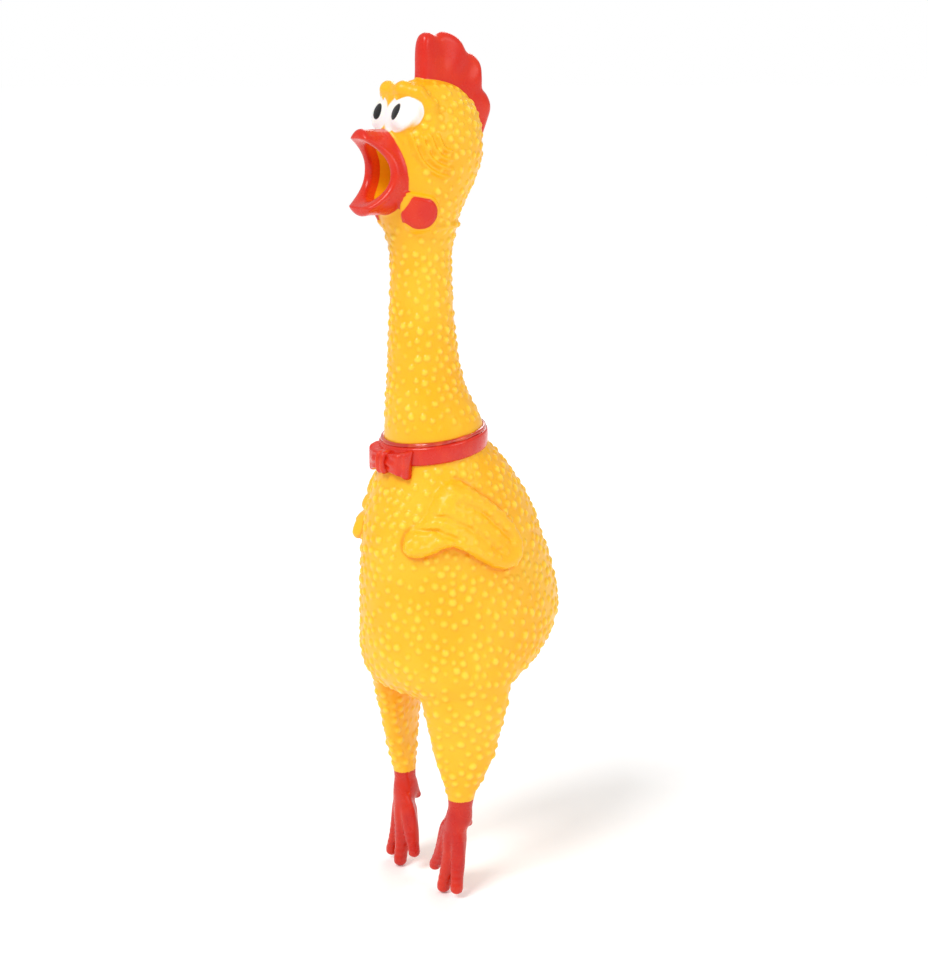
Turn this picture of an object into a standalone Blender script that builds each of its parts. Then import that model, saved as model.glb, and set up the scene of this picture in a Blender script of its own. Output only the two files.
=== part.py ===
"""A squawking rubber chicken: a hollow soft-vinyl novelty, 310 mm tall, that faces -Y, toes on z = 0.

Two hollow mouldings make the toy. The head-and-neck moulding plugs into the mouth of the body moulding,
under a red collar, and a reed squawker sits in that plug. Soft vinyl bends anywhere, so each moulding is
divided where it bends: a short fold stands between two stiff stretches, with the joint's axis in it.

Lengths are in millimetres in the constants and in the outlines, and become metres when a mesh is made.
A level of a moulding is (height, half width, front, back): an oval across the toy at that height.
"""

import math

import bmesh
import bpy
from mathutils import Matrix, Vector

MM = 0.001

# ---------------------------------------------------------------- driving dimensions
WALL = 2.0
GAP = 0.3

COLLAR_TOP = 170.5
COLLAR_HEIGHT = 7.0
COLLAR_RADIUS = 19.7
COLLAR_THICKNESS = 1.4
COLLAR_SLOPE = math.tan(math.radians(8.2))

PLUG_BOTTOM = 157.0
PLUG_RADIUS = 15.5

NECK_FOLD_LOW = (180.0, 200.0)
NECK_FOLD_HIGH = (212.0, 232.0)
HIP_FOLD = (60.2, 72.0)
ANKLE_FOLD = (38.0, 43.4)

MOUTH_Z = 262.6
EYE_CENTRE = (5.6, -18.0, 281.6)
EYE_RADII = (5.0, 2.9, 5.4)
EYE_REACH = 20.0
PUPIL_CENTRE = (4.6, -20.7, 281.4)
PUPIL_RADII = (1.6, 0.9, 2.5)
PUPIL_LEAN = 0.2
BROW_CENTRE = (5.4, -16.2, 289.6)
BROW_RADII = (6.6, 4.6, 2.8)
LEG_Y = -1.0
ANKLE_X = 18.3

# The outlines are drawn about the collar's axis. The toy's origin is below its middle, this far behind.
MIDDLE_Y = 11.7

# Each joint's axis goes through one of these points, in the middle of a fold.
NECK_LOW_PIVOT = (0.0, -3.6, 190.0)
NECK_HIGH_PIVOT = (0.0, -5.0, 222.0)
HIP_PIVOT = (20.9, LEG_Y, 66.1)
ANKLE_PIVOT = (18.9, LEG_Y, 40.7)

# ---------------------------------------------------------------- outlines of the mouldings
# The torso, from the mouth under the collar down to the crotch. The tail is its furthest point back.
TORSO = (
    (COLLAR_TOP, 18.0, -18.0, 18.0),
    (164.0, 18.6, -18.8, 20.4),
    (158.5, 20.6, -20.4, 25.0),
    (150.0, 23.6, -23.0, 31.0),
    (142.0, 25.4, -25.2, 36.8),
    (135.0, 26.8, -26.4, 41.4),
    (126.0, 28.0, -27.0, 45.6),
    (117.0, 28.9, -27.2, 48.8),
    (109.0, 30.0, -27.2, 50.4),
    (101.0, 30.8, -27.0, 50.6),
    (95.0, 31.3, -26.7, 47.6),
    (90.0, 31.5, -26.0, 43.4),
    (85.0, 31.0, -24.6, 37.4),
    (81.0, 29.2, -22.2, 31.0),
    (78.0, 26.0, -18.8, 24.6),
    (75.4, 20.0, -13.4, 17.0),
    (73.8, 12.0, -7.0, 9.6),
    (72.9, 5.0, -2.5, 4.5),
)

# The neck and head, from the shoulder that rests on the body's mouth up to the crown.
NECK_AND_HEAD = (
    (COLLAR_TOP + GAP, 17.6, -17.4, 17.6),
    (177.0, 16.6, -17.3, 15.4),
    (184.0, 14.9, -17.2, 12.0),
    (192.0, 13.4, -16.6, 9.4),
    (205.0, 12.1, -16.2, 7.0),
    (216.0, 11.3, -15.8, 6.1),
    (227.0, 10.5, -15.6, 5.8),
    (236.0, 10.2, -16.3, 6.2),
    (240.0, 10.6, -17.4, 7.4),
    (243.7, 12.0, -19.2, 8.6),
    (247.0, 12.4, -19.9, 8.8),
    (254.0, 13.5, -20.3, 12.2),
    (261.0, 14.8, -20.6, 15.8),
    (268.0, 15.5, -20.4, 18.2),
    (275.0, 15.3, -20.2, 18.2),
    (282.0, 13.6, -19.6, 17.0),
    (288.0, 11.2, -17.8, 12.8),
    (291.6, 8.2, -14.0, 7.6),
    (293.4, 3.6, -9.0, 2.0),
)

# A leg, as (height, centre across, short half, long half), from inside the torso down to the ankle.
# Its oval is turned so that its long side follows the flank of the torso.
LEG_TURN = math.radians(30.0)
LEG = (
    (84.0, 20.2, 8.6, 16.4),
    (75.0, 20.8, 8.0, 15.6),
    (68.0, 20.9, 6.9, 14.0),
    (61.0, 20.6, 5.6, 12.3),
    (55.0, 20.4, 4.9, 11.0),
    (48.0, 19.8, 4.6, 8.6),
    (43.4, 19.1, 4.4, 6.8),
    (40.0, 18.6, 4.2, 5.4),
    (37.6, 18.3, 4.2, 4.8),
)

SLOTS = {
    "yellow_vinyl": ((0.96, 0.62, 0.04), 0.42, 0.0),
    "red_vinyl": ((0.74, 0.03, 0.02), 0.3, 0.0),
    "white_paint": ((0.92, 0.9, 0.86), 0.35, 0.0),
    "black_paint": ((0.02, 0.02, 0.02), 0.2, 0.0),
    "clear_glue": ((0.78, 0.12, 0.05), 0.12, 0.0),
    "squawker_plastic": ((0.88, 0.87, 0.82), 0.4, 0.0),
    "reed_film": ((0.75, 0.8, 0.82), 0.25, 0.0),
}


# ---------------------------------------------------------------- scene and mesh helpers
def clear_scene():
    """Removes every object, so that the toy stands alone."""
    for obj in list(bpy.data.objects):
        bpy.data.objects.remove(obj)


def material(slot):
    """The Principled material of a slot, made once."""
    found = bpy.data.materials.get(slot)
    if found:
        return found
    colour, roughness, metallic = SLOTS[slot]
    made = bpy.data.materials.new(slot)
    made.use_nodes = True
    shader = made.node_tree.nodes["Principled BSDF"]
    shader.inputs["Base Color"].default_value = (*colour, 1.0)
    shader.inputs["Roughness"].default_value = roughness
    shader.inputs["Metallic"].default_value = metallic
    return made


def placed(point):
    """A point of the outlines, in metres from the toy's origin."""
    return (Vector(point) - Vector((0.0, MIDDLE_Y, 0.0))) * MM


def solid(name, loops, slot, ring=False):
    """A closed solid skinned over loops of points in millimetres, each loop with as many points as the next.

    A ring joins its last loop to its first, as a tube's wall does. Otherwise both ends are capped.
    """
    mesh = bmesh.new()
    rows = [[mesh.verts.new(placed(p)) for p in loop] for loop in loops]
    pairs = list(zip(rows, rows[1:] + rows[:1])) if ring else list(zip(rows, rows[1:]))
    for low, high in pairs:
        for i in range(len(low)):
            j = (i + 1) % len(low)
            mesh.faces.new((low[i], low[j], high[j], high[i]))
    if not ring:
        mesh.faces.new(reversed(rows[0]))
        mesh.faces.new(rows[-1])
    bmesh.ops.recalc_face_normals(mesh, faces=mesh.faces)
    data = bpy.data.meshes.new(name)
    mesh.to_mesh(data)
    mesh.free()
    data.shade_smooth()
    data.set_sharp_from_angle(angle=math.radians(40))
    data.materials.append(material(slot))
    obj = bpy.data.objects.new(name, data)
    bpy.context.scene.collection.objects.link(obj)
    return obj


def hang(name, pivot, pieces, parent=None):
    """Puts pieces on an empty that stands on their joint's axis, where they are, and returns the empty."""
    empty = bpy.data.objects.new(name, None)
    empty.location = placed(pivot)
    bpy.context.scene.collection.objects.link(empty)
    for piece in pieces:
        piece.parent = empty
        piece.matrix_parent_inverse = Matrix.Translation(-empty.location)
    if parent:
        empty.parent = parent
        empty.matrix_parent_inverse = Matrix.Translation(-placed(parent["pivot"]))
    empty["pivot"] = pivot
    return empty


def helper(obj):
    """Marks a cutter, or a shape that a Boolean joins to another, so that it isn't a part itself."""
    obj.hide_render = True
    obj.display_type = "WIRE"
    return obj


def combine(obj, operation, *others):
    """Adds one exact Boolean modifier for each of the other shapes, in order."""
    for other in others:
        step = obj.modifiers.new(f"{operation.lower()} {other.name}", "BOOLEAN")
        step.operation = operation
        step.solver = "EXACT"
        step.object = helper(other)
    return obj


# ---------------------------------------------------------------- geometry of the mouldings
def collar_share(z):
    """How much of the collar's slope a height takes: all of it at the collar, none far from it."""
    if z < 155.0:
        part = (z - 128.0) / 27.0
    else:
        part = (206.0 - z) / 33.0
    part = max(0.0, min(1.0, part))
    return part * part * (3.0 - 2.0 * part)


def sloped(x, y, z):
    """A point lowered at the front and raised at the back, as the tilted collar is."""
    return (x, y, z + COLLAR_SLOPE * y * collar_share(z))


def at_height(table, z):
    """The values of a table of levels at a height, on a smooth curve through its rows."""
    rows = sorted(table)
    z = max(rows[0][0], min(rows[-1][0], z))
    k = max(i for i in range(len(rows) - 1) if rows[i][0] <= z)
    low, high = rows[k], rows[k + 1]
    before, after = rows[max(k - 1, 0)], rows[min(k + 2, len(rows) - 1)]
    span = high[0] - low[0]
    t = (z - low[0]) / span
    values = []
    for a, b, c, d in zip(before[1:], low[1:], high[1:], after[1:]):
        into = (c - a) / (high[0] - before[0]) * span
        out = (d - b) / (after[0] - low[0]) * span
        values.append(
            (2 * t**3 - 3 * t**2 + 1) * b
            + (t**3 - 2 * t**2 + t) * into
            + (3 * t**2 - 2 * t**3) * c
            + (t**3 - t**2) * out
        )
    return values


def oval(table, z, sides, grow=0.0, lift=0.0):
    """The loop of a body level, grown outward by grow and raised by lift."""
    half, front, back = at_height(table, z)
    middle, depth = (front + back) / 2, (back - front) / 2
    half, depth = max(half + grow, 0.4), max(depth + grow, 0.4)
    turns = [math.tau * i / sides for i in range(sides)]
    return [
        sloped(half * math.cos(a), middle + depth * math.sin(a), z + lift) for a in turns
    ]


def leg_oval(side, z, sides, grow=0.0, lift=0.0):
    """The loop of a leg level on the side +1 or -1."""
    centre, short, long = at_height(LEG, z)
    short, long = max(short + grow, 0.4), max(long + grow, 0.4)
    cosine, sine = math.cos(LEG_TURN), math.sin(LEG_TURN)
    loop = []
    for i in range(sides):
        a = math.tau * i / sides
        across, along = short * math.cos(a), long * math.sin(a)
        x = centre + across * cosine + along * sine
        y = LEG_Y - across * sine + along * cosine
        loop.append((side * x, y, z + lift))
    return loop


def spread(low, high, count):
    """Count evenly spaced numbers from low to high."""
    return [low + (high - low) * i / (count - 1) for i in range(count)]


def tube(name, outer, inner, slot):
    """A tube whose wall lies between two lists of loops that run the same way."""
    return solid(name, outer + inner[::-1], slot, ring=True)


def ellipsoid(name, centre, radii, slot, sides=20, rings=10, tip=0.0):
    """An ellipsoid, with its top leant over along X by tip for each unit of height."""
    loops = []
    for k in range(1, rings):
        a = math.pi * k / rings
        z = -math.cos(a) * radii[2]
        r = math.sin(a)
        loops.append(
            [
                (
                    centre[0] + radii[0] * r * math.cos(math.tau * i / sides) + tip * z,
                    centre[1] + radii[1] * r * math.sin(math.tau * i / sides),
                    centre[2] + z,
                )
                for i in range(sides)
            ]
        )
    return solid(name, loops, slot)


def torso_solid(name, grow, top=COLLAR_TOP):
    """The torso as a plain solid, grown outward by grow, for the shell and for its cutters."""
    bottom = TORSO[-1][0]
    heights = [z for z, *_ in TORSO[:-8:-1]] + spread(95.0, COLLAR_TOP, 11)
    loops = [oval(TORSO, z, 28, grow, lift=0.0 if z > bottom else -grow) for z in heights]
    if top > COLLAR_TOP:
        loops.append([(x, y, z + top - COLLAR_TOP) for x, y, z in loops[-1]])
    return solid(name, loops, "yellow_vinyl")


def head_solid(name, grow, low):
    """The head, and the neck down to a height, as a plain solid grown outward by grow."""
    crown = NECK_AND_HEAD[-1][0]
    heights = spread(low, 238.0, 3) + [241.0, 242.6, 243.7, 245.2, 247.0]
    heights += spread(251.0, 284.0, 8) + [287.6, 290.2, 292.0, crown]
    loops = [oval(NECK_AND_HEAD, z, 28, grow, lift=grow if z == crown else 0.0) for z in heights]
    return solid(name, loops, "yellow_vinyl")


def leg_solid(name, side, low, high, grow, steps=4, sides=20):
    """A stretch of a leg as a plain solid."""
    return solid(
        name, [leg_oval(side, z, sides, grow) for z in spread(low, high, steps)], "yellow_vinyl"
    )


# ---------------------------------------------------------------- the body moulding
def torso_shell():
    """The hollow torso with the stubs of both legs, open at the mouth and into each leg."""
    shell = torso_solid("torso_shell", 0.0)
    tail = ellipsoid("tail", (0.0, 47.6, 99.0), (9.0, 6.8, 6.0), "yellow_vinyl", 16, 8)
    combine(shell, "UNION", tail)
    stubs = [leg_solid(f"stub_{k}", k, HIP_FOLD[1] + GAP, 84.0, 0.0) for k in (1, -1)]
    combine(shell, "UNION", *stubs)
    combine(shell, "DIFFERENCE", torso_solid("torso_hollow", -WALL, top=COLLAR_TOP + 6.0))
    tunnels = [leg_solid(f"tunnel_{k}", k, HIP_FOLD[1] - 4.0, 82.0, -WALL) for k in (1, -1)]
    combine(shell, "DIFFERENCE", *tunnels)
    return shell


def collar_band():
    """The red band moulded round the body's mouth."""
    z_low = COLLAR_TOP - COLLAR_HEIGHT
    middle = (COLLAR_TOP + z_low) / 2
    outer = [oval_ring(r, z) for r, z in (
        (COLLAR_RADIUS - 0.4, z_low), (COLLAR_RADIUS, z_low + 0.6), (COLLAR_RADIUS + 0.2, middle),
        (COLLAR_RADIUS, COLLAR_TOP - 0.6), (COLLAR_RADIUS - 0.4, COLLAR_TOP))]
    inner = [oval_ring(COLLAR_RADIUS - COLLAR_THICKNESS, z) for z in (z_low, COLLAR_TOP)]
    band = solid("collar_band", outer + inner[::-1], "red_vinyl", ring=True)
    return combine(band, "DIFFERENCE", torso_solid("torso_clear_of_band", GAP, COLLAR_TOP + 2.0))


def oval_ring(radius, z, sides=36):
    """A round loop about the collar's axis."""
    return [
        sloped(radius * math.cos(math.tau * i / sides), radius * math.sin(math.tau * i / sides), z)
        for i in range(sides)
    ]


def round_collar(angle, radius, z):
    """A point about the collar's axis, at an angle from the front, towards the toy's left."""
    return sloped(radius * math.sin(angle), -radius * math.cos(angle), z)


def bow_loop(name, side):
    """One loop of the bow tie: it flares from the knot and wraps a little round the collar."""
    inner, near, far = COLLAR_RADIUS + 0.5, math.radians(7.2), math.radians(33.0)
    top = COLLAR_TOP + 0.4
    loops = []
    for k in range(7):
        t = k / 6
        angle = side * (near + (far - near) * t)
        height = 7.4 + 4.4 * math.sin(t * math.pi / 2)
        bulge = 3.4 + 1.3 * math.sin(math.pi * min(1.0, 0.25 + 0.75 * t))
        middle = top - height / 2 - 0.5
        loop = []
        for i in range(12):
            a = math.tau * i / 12
            up, out = math.cos(a), math.sin(a)
            wide = math.copysign(abs(up) ** 0.6, up)
            deep = math.copysign(abs(out) ** 0.8, out)
            radius = inner + bulge / 2 + deep * bulge / 2
            loop.append(round_collar(angle, radius, middle + wide * height / 2))
        loops.append(loop)
    loop = solid(name, loops, "red_vinyl")
    combine(loop, "DIFFERENCE", torso_solid(name + "_rests_on", GAP, COLLAR_TOP + 2.0))
    return loop


def bow_knot():
    """The bow's knot, a short band between its loops."""
    inner = COLLAR_RADIUS + 0.5
    loops = []
    for k in range(5):
        angle = math.radians(-6.2 + 12.4 * k / 4)
        bulge = 4.2 + 1.2 * math.cos(math.pi * (k / 4 - 0.5))
        loop = []
        for i in range(12):
            a = math.tau * i / 12
            up, out = math.cos(a), math.sin(a)
            wide = math.copysign(abs(up) ** 0.6, up)
            deep = math.copysign(abs(out) ** 0.8, out)
            radius = inner + bulge / 2 + deep * bulge / 2
            loop.append(round_collar(angle, radius, COLLAR_TOP - 4.2 + wide * 4.4))
        loops.append(loop)
    knot = solid("bow_knot", loops, "red_vinyl")
    return combine(knot, "DIFFERENCE", torso_solid("knot_rests_on", GAP, COLLAR_TOP + 2.0))


def on_torso(angle, z, out):
    """A point out from the torso's surface, at an angle back from the toy's left side."""
    half, front, back = at_height(TORSO, z)
    middle, depth = (front + back) / 2, (back - front) / 2
    across = Vector((math.cos(angle) / half, math.sin(angle) / depth)).normalized()
    x, y = half * math.cos(angle), middle + depth * math.sin(angle)
    return sloped(x + across.x * out, y + across.y * out, z)


def wing(name, side):
    """A wing held against the flank: one arm reaches forward and down, the other back and down."""
    # (angle in degrees back from the side, height, half breadth, thickness) along the wing's middle.
    spine = (
        (-62.0, 132.5, 1.6, 1.0),
        (-58.0, 135.0, 6.0, 2.6),
        (-50.0, 139.0, 9.0, 3.6),
        (-38.0, 143.5, 11.0, 4.4),
        (-25.0, 145.6, 11.2, 4.8),
        (-10.0, 142.0, 10.4, 4.8),
        (4.0, 136.0, 9.2, 4.6),
        (17.0, 130.2, 7.4, 4.0),
        (28.0, 126.0, 4.6, 3.0),
        (33.0, 124.8, 1.6, 1.2),
    )
    loops = []
    for k, (angle, z, breadth, thick) in enumerate(spine):
        before, after = spine[max(k - 1, 0)], spine[min(k + 1, len(spine) - 1)]
        run = Vector(((after[0] - before[0]) * 0.5, after[1] - before[1])).normalized()
        across = Vector((-run.y, run.x))
        loop = []
        for i in range(12):
            a = math.tau * i / 12
            along = across * (breadth * math.cos(a))
            spot = angle + along.x / 0.5
            out = math.sin(a) * thick if math.sin(a) > 0 else math.sin(a) * 2.4
            x, y, height = on_torso(math.radians(spot), z + along.y, out)
            loop.append((side * x, y, height))
        loops.append(loop)
    made = solid(name, loops, "yellow_vinyl")
    return combine(made, "DIFFERENCE", torso_solid(name + "_rests_on", GAP))


def hip_fold(name, side):
    """The bending stretch between the torso and a leg."""
    heights = spread(HIP_FOLD[0], HIP_FOLD[1], 4)
    outer = [leg_oval(side, z, 20) for z in heights]
    inner = [leg_oval(side, z, 20, -WALL) for z in heights]
    return tube(name, outer, inner, "yellow_vinyl")


def leg(name, side):
    """The stiff stretch of a leg, hollow and open at the top."""
    low, high = ANKLE_FOLD[1] + GAP, HIP_FOLD[0] - GAP
    heights = spread(low, high, 4)
    outer = [leg_oval(side, z, 20) for z in heights]
    inner = [leg_oval(side, z, 20, -WALL) for z in spread(low + WALL, high, 3)]
    return solid(name, outer + inner[::-1], "yellow_vinyl")


def ankle_fold(name, side):
    """The bending stretch above a foot, which is cast almost solid."""
    heights = spread(ANKLE_FOLD[0], ANKLE_FOLD[1], 3)
    return solid(name, [leg_oval(side, z, 16) for z in heights], "yellow_vinyl")


def limb(name, points, slot="red_vinyl", sides=12):
    """A round-ended limb through (x, y, z, half width, half depth) points, one loop at each height."""
    loops = []
    for x, y, z, half, depth in points:
        turns = [math.tau * i / sides for i in range(sides)]
        loops.append([(x + half * math.cos(a), y + depth * math.sin(a), z) for a in turns])
    return solid(name, loops, slot)


def foot(name, side):
    """A foot: a flat palm below the ankle, three toes that fan downward, and a short spur behind."""
    x, y, top = ANKLE_X, LEG_Y, ANKLE_FOLD[0] - GAP
    palm = limb(name, [(side * a, b, c, d, e) for a, b, c, d, e in (
        (15.0, y - 2.6, 8.0, 3.0, 1.6), (14.6, y - 2.4, 10.0, 6.0, 2.5), (14.9, y - 1.9, 15.0, 7.4, 3.2),
        (15.6, y - 1.2, 21.0, 6.0, 3.6), (16.8, y - 0.5, 28.0, 4.6, 4.0),
        (17.6, y - 0.1, 33.0, 4.2, 4.5), (x, y, top, 4.3, 5.0))])
    toes = {
        "outer": ((20.8, -4.6, 3.8, 1.3), (20.9, -4.5, 4.8, 2.3), (20.6, -4.0, 8.0, 2.7),
                  (19.0, -2.6, 15.0, 2.7), (17.4, -1.4, 21.0, 1.4)),
        "middle": ((14.0, -5.6, 0.0, 1.3), (14.0, -5.5, 1.0, 2.3), (14.1, -4.9, 5.0, 2.7),
                   (14.8, -3.0, 13.0, 2.9), (15.6, -1.4, 21.0, 1.4)),
        "inner": ((6.0, -4.2, 7.6, 1.3), (6.2, -4.1, 8.6, 2.3), (7.6, -3.6, 11.5, 2.7),
                  (11.0, -2.4, 17.0, 2.7), (14.0, -1.4, 23.0, 1.4)),
        "spur": ((16.6, 4.6, 24.4, 0.7), (16.6, 4.4, 25.2, 1.4), (16.7, 3.8, 27.0, 1.9),
                 (16.9, 2.4, 30.0, 1.9), (17.0, 1.6, 31.6, 0.9)),
    }
    for toe, points in toes.items():
        rounded = [(side * a, LEG_Y + b, c, r, r) for a, b, c, r in points]
        combine(palm, "UNION", limb(f"{name}_{toe}", rounded, sides=10))
    return palm


# ---------------------------------------------------------------- the head-and-neck moulding
def neck_base():
    """The foot of the neck: a shoulder on the body's mouth, and the plug that goes into it."""
    low, high = NECK_AND_HEAD[0][0], NECK_FOLD_LOW[0]
    heights = spread(low, high, 4)
    outer = [oval_ring(PLUG_RADIUS, PLUG_BOTTOM, 28), oval_ring(PLUG_RADIUS, low, 28)]
    outer += [oval(NECK_AND_HEAD, z, 28) for z in heights]
    inner = [oval_ring(PLUG_RADIUS - WALL, z, 28) for z in (PLUG_BOTTOM, low)]
    inner += [oval(NECK_AND_HEAD, z, 28, -WALL - 0.4) for z in heights[1:]]
    return tube("neck_base", outer, inner, "yellow_vinyl")


def neck_stretch(name, low, high, steps):
    """A stretch of the neck between two heights."""
    heights = spread(low, high, steps)
    outer = [oval(NECK_AND_HEAD, z, 28) for z in heights]
    inner = [oval(NECK_AND_HEAD, z, 28, -WALL) for z in heights]
    return tube(name, outer, inner, "yellow_vinyl")


def lip_line(turn):
    """The middle of the open beak's lip at an angle from its top: (across, height, how far forward)."""
    up = math.cos(turn)
    across = 8.4 * math.sin(turn) * (1.0 - 0.25 * up)
    height = MOUTH_Z + 11.8 * up
    forward = -22.4 - 8.6 * abs(up) ** 2.6
    return across, height, forward


def face_front(x, z, grow=0.0):
    """How far forward the head's surface is at a point across it."""
    half, front, back = at_height(NECK_AND_HEAD, z)
    middle, depth = (front + back) / 2, (back - front) / 2 + grow
    return middle - depth * math.sqrt(max(0.0, 1.0 - (x / (half + grow)) ** 2))


def lip_loop(inset, back, steps=28):
    """A loop round the beak, inset from the lip's middle, at a share of the way back to the face."""
    loop = []
    for i in range(steps):
        turn = math.tau * i / steps
        across, height, forward = lip_line(turn)
        outward = Vector((math.sin(turn), math.cos(turn) * 1.35)).normalized()
        x, z = across - outward.x * inset, height - outward.y * inset
        rear = face_front(x, z) - GAP
        loop.append((x, forward + (rear - forward) * back, z))
    return loop


def beak():
    """The beak: one wide-open lip that stands out of the face, pointed above and below."""
    sections = ((0.0, 0.0), (-1.5, 0.12), (-2.4, 0.5), (-2.9, 1.0), (0.6, 1.0), (1.5, 0.5), (1.1, 0.12))
    lip = solid("beak", [lip_loop(a, b) for a, b in sections], "red_vinyl", ring=True)
    return combine(lip, "DIFFERENCE", head_solid("beak_rests_on", GAP, 232.0))


def beak_clearance(name):
    """The space that the beak fills and a gap round it, to cut from whatever stands beside it."""
    inset = -2.9 - GAP
    return solid(name, [lip_loop(inset, b) for b in (-0.3, 0.3, 1.0, 2.2)], "red_vinyl")


def mouth_lining():
    """The throat behind the lip: a short funnel through the face into the hollow head."""
    outer = [lip_loop(1.9, 0.75)]
    inner = [lip_loop(2.9, 0.75)]
    for inset, y, share in ((2.2, -16.0, 1.0), (3.2, -11.0, 0.86), (4.2, -7.0, 0.62)):
        for loops, wall in ((outer, 0.0), (inner, 1.0)):
            ring = lip_loop(inset + wall, 1.0)
            loops.append([(x * share, y, MOUTH_Z + (z - MOUTH_Z) * share) for x, _, z in ring])
    return tube("mouth_lining", outer, inner, "yellow_vinyl")


def head_shell():
    """The hollow head on the top of the neck, with its brow ridge, open at the neck and the mouth."""
    low = NECK_FOLD_HIGH[1] + GAP
    shell = head_solid("head_shell", 0.0, low)
    brows = [
        ellipsoid(f"brow_{k}", (k * BROW_CENTRE[0], *BROW_CENTRE[1:]), BROW_RADII, "yellow_vinyl", 16, 8)
        for k in (1, -1)
    ]
    combine(shell, "UNION", *brows)
    combine(shell, "DIFFERENCE", head_solid("head_hollow", -WALL, low - 4.0))
    hole = []
    for y in (-34.0, -20.0, -9.0):
        hole.append([(x, y, z) for x, _, z in lip_loop(1.2, 1.0)])
    combine(shell, "DIFFERENCE", solid("mouth_hole", hole, "yellow_vinyl"))
    return shell


def comb():
    """The comb: an upright fin along the crown with rounded lobes."""
    centre_y, centre_z = 3.0, 280.0
    steps = 34
    start, end = math.radians(113.0), math.radians(-17.0)

    def outline(inset):
        points = []
        for i in range(steps):
            t = i / (steps - 1)
            a = start + (end - start) * t
            reach = 18.2 + 11.0 * max(0.0, math.sin(a)) ** 2.2
            lobes = 1.3 * abs(math.sin(t * math.pi * 4.0 + 0.35)) - 0.6
            reach = (reach + lobes) * min(1.0, 0.90 + 1.2 * t) - inset
            points.append((centre_y + reach * math.cos(a), centre_z + reach * math.sin(a)))
        for a in (start - math.radians(100.0), start - math.radians(30.0)):
            points.append((centre_y + 4.0 * math.cos(a), centre_z + 4.0 * math.sin(a)))
        return points

    layers = ((-3.3, 1.7), (-2.6, 0.6), (-1.2, 0.0), (1.2, 0.0), (2.6, 0.6), (3.3, 1.7))
    loops = [[(x, y, z) for y, z in outline(inset)] for x, inset in layers]
    fin = solid("comb", loops, "red_vinyl")
    return combine(fin, "DIFFERENCE", head_solid("comb_rests_on", GAP, 232.0))


def wattle(name, side):
    """A wattle: a flat rounded lobe on the jaw, drawn to a point by the mouth's corner."""
    made = ellipsoid(name, (side * 11.4, -13.4, 249.2), (3.8, 7.2, 5.2), "red_vinyl", 18, 10)
    combine(made, "DIFFERENCE", head_solid(name + "_rests_on", GAP, 232.0))
    return combine(made, "DIFFERENCE", beak_clearance(name + "_behind"))


def eyeball(name, side, grow=0.0):
    """The plain ellipsoid of an eye, grown outward by grow."""
    centre = (side * EYE_CENTRE[0], *EYE_CENTRE[1:])
    return ellipsoid(name, centre, [r + grow for r in EYE_RADII], "white_paint", 18, 10)


def eye(name, side):
    """A bulging eye on the face, above the beak and below the brow, which stops short of the other eye."""
    made = eyeball(name, side)
    combine(made, "DIFFERENCE", head_solid(name + "_rests_on", GAP, 232.0))
    near, far = side * GAP, -side * EYE_REACH
    low, high = EYE_CENTRE[2] - EYE_REACH, EYE_CENTRE[2] + EYE_REACH
    corners = [(near, low), (far, low), (far, high), (near, high)][::-side]
    other_half = [[(x, y, z) for x, z in corners] for y in (-2 * EYE_REACH, 0.0)]
    combine(made, "DIFFERENCE", solid(name + "_beside", other_half, "white_paint"))
    brow_centre = (side * BROW_CENTRE[0], *BROW_CENTRE[1:])
    brow_radii = [r + GAP for r in BROW_RADII]
    brow_clear = ellipsoid(name + "_below_brow", brow_centre, brow_radii, "white_paint", 16, 8)
    return combine(made, "DIFFERENCE", brow_clear)


def pupil(name, side):
    """An oval pupil on an eye, leant back."""
    centre = (side * PUPIL_CENTRE[0], *PUPIL_CENTRE[1:])
    made = ellipsoid(name, centre, PUPIL_RADII, "black_paint", 14, 8, tip=PUPIL_LEAN * side)
    return combine(made, "DIFFERENCE", eyeball(name + "_rests_on", side, GAP))


# ---------------------------------------------------------------- the squawker in the plug
def disc_loops(radius_and_height, sides=24, centre=(0.0, 0.0)):
    """Round loops about a vertical axis."""
    turns = [math.tau * i / sides for i in range(sides)]
    return [
        [(centre[0] + r * math.cos(turn), centre[1] + r * math.sin(turn), z) for turn in turns]
        for r, z in radius_and_height
    ]


SQUAWKER_BASE = 161.0
PIPE_TOP = SQUAWKER_BASE + 24.0
SEAT_FOOT = SQUAWKER_BASE + 4.0
REED_FOOT = SEAT_FOOT + 5.0
REED_Y = -0.3


def squawker_housing():
    """A flanged pipe: its flange closes the plug, and its pipe stands up in the neck."""
    z = SQUAWKER_BASE
    outer = disc_loops(((13.0, z), (13.0, z + 2.2), (7.6, z + 2.2), (6.6, z + 3.2), (6.6, PIPE_TOP)))
    inner = disc_loops(((5.2, z), (5.2, z + 2.2), (5.2, z + 2.3), (5.2, z + 3.2), (5.2, PIPE_TOP)))
    return tube("squawker_housing", outer, inner, "squawker_plastic")


def squawker_shallot():
    """The reed's seat: a half-round trough, closed at its top, with its flat side under the reed."""
    z = SEAT_FOOT
    arc = [math.pi * i / 10 for i in range(11)]

    def trough(height, hollow):
        outside = [(4.6 * math.cos(a), 4.6 * math.sin(a) + 0.2, height) for a in arc]
        inside = [(2.8 * math.cos(a), 2.8 * math.sin(a) + 0.2, height) for a in reversed(arc)]
        return outside + inside if hollow else outside
    low = solid("squawker_shallot", [trough(z, True), trough(z + 18.0, True)], "squawker_plastic")
    cap = solid("shallot_cap", [trough(z + 16.0, False), trough(z + 18.0, False)], "squawker_plastic")
    return combine(low, "UNION", cap)


def block(name, low, high, slot):
    """A rectangular solid between two corners."""
    (x0, y0, z0), (x1, y1, z1) = low, high
    loops = [[(x0, y0, z), (x1, y0, z), (x1, y1, z), (x0, y1, z)] for z in (z0, z1)]
    return solid(name, loops, slot)


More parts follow.
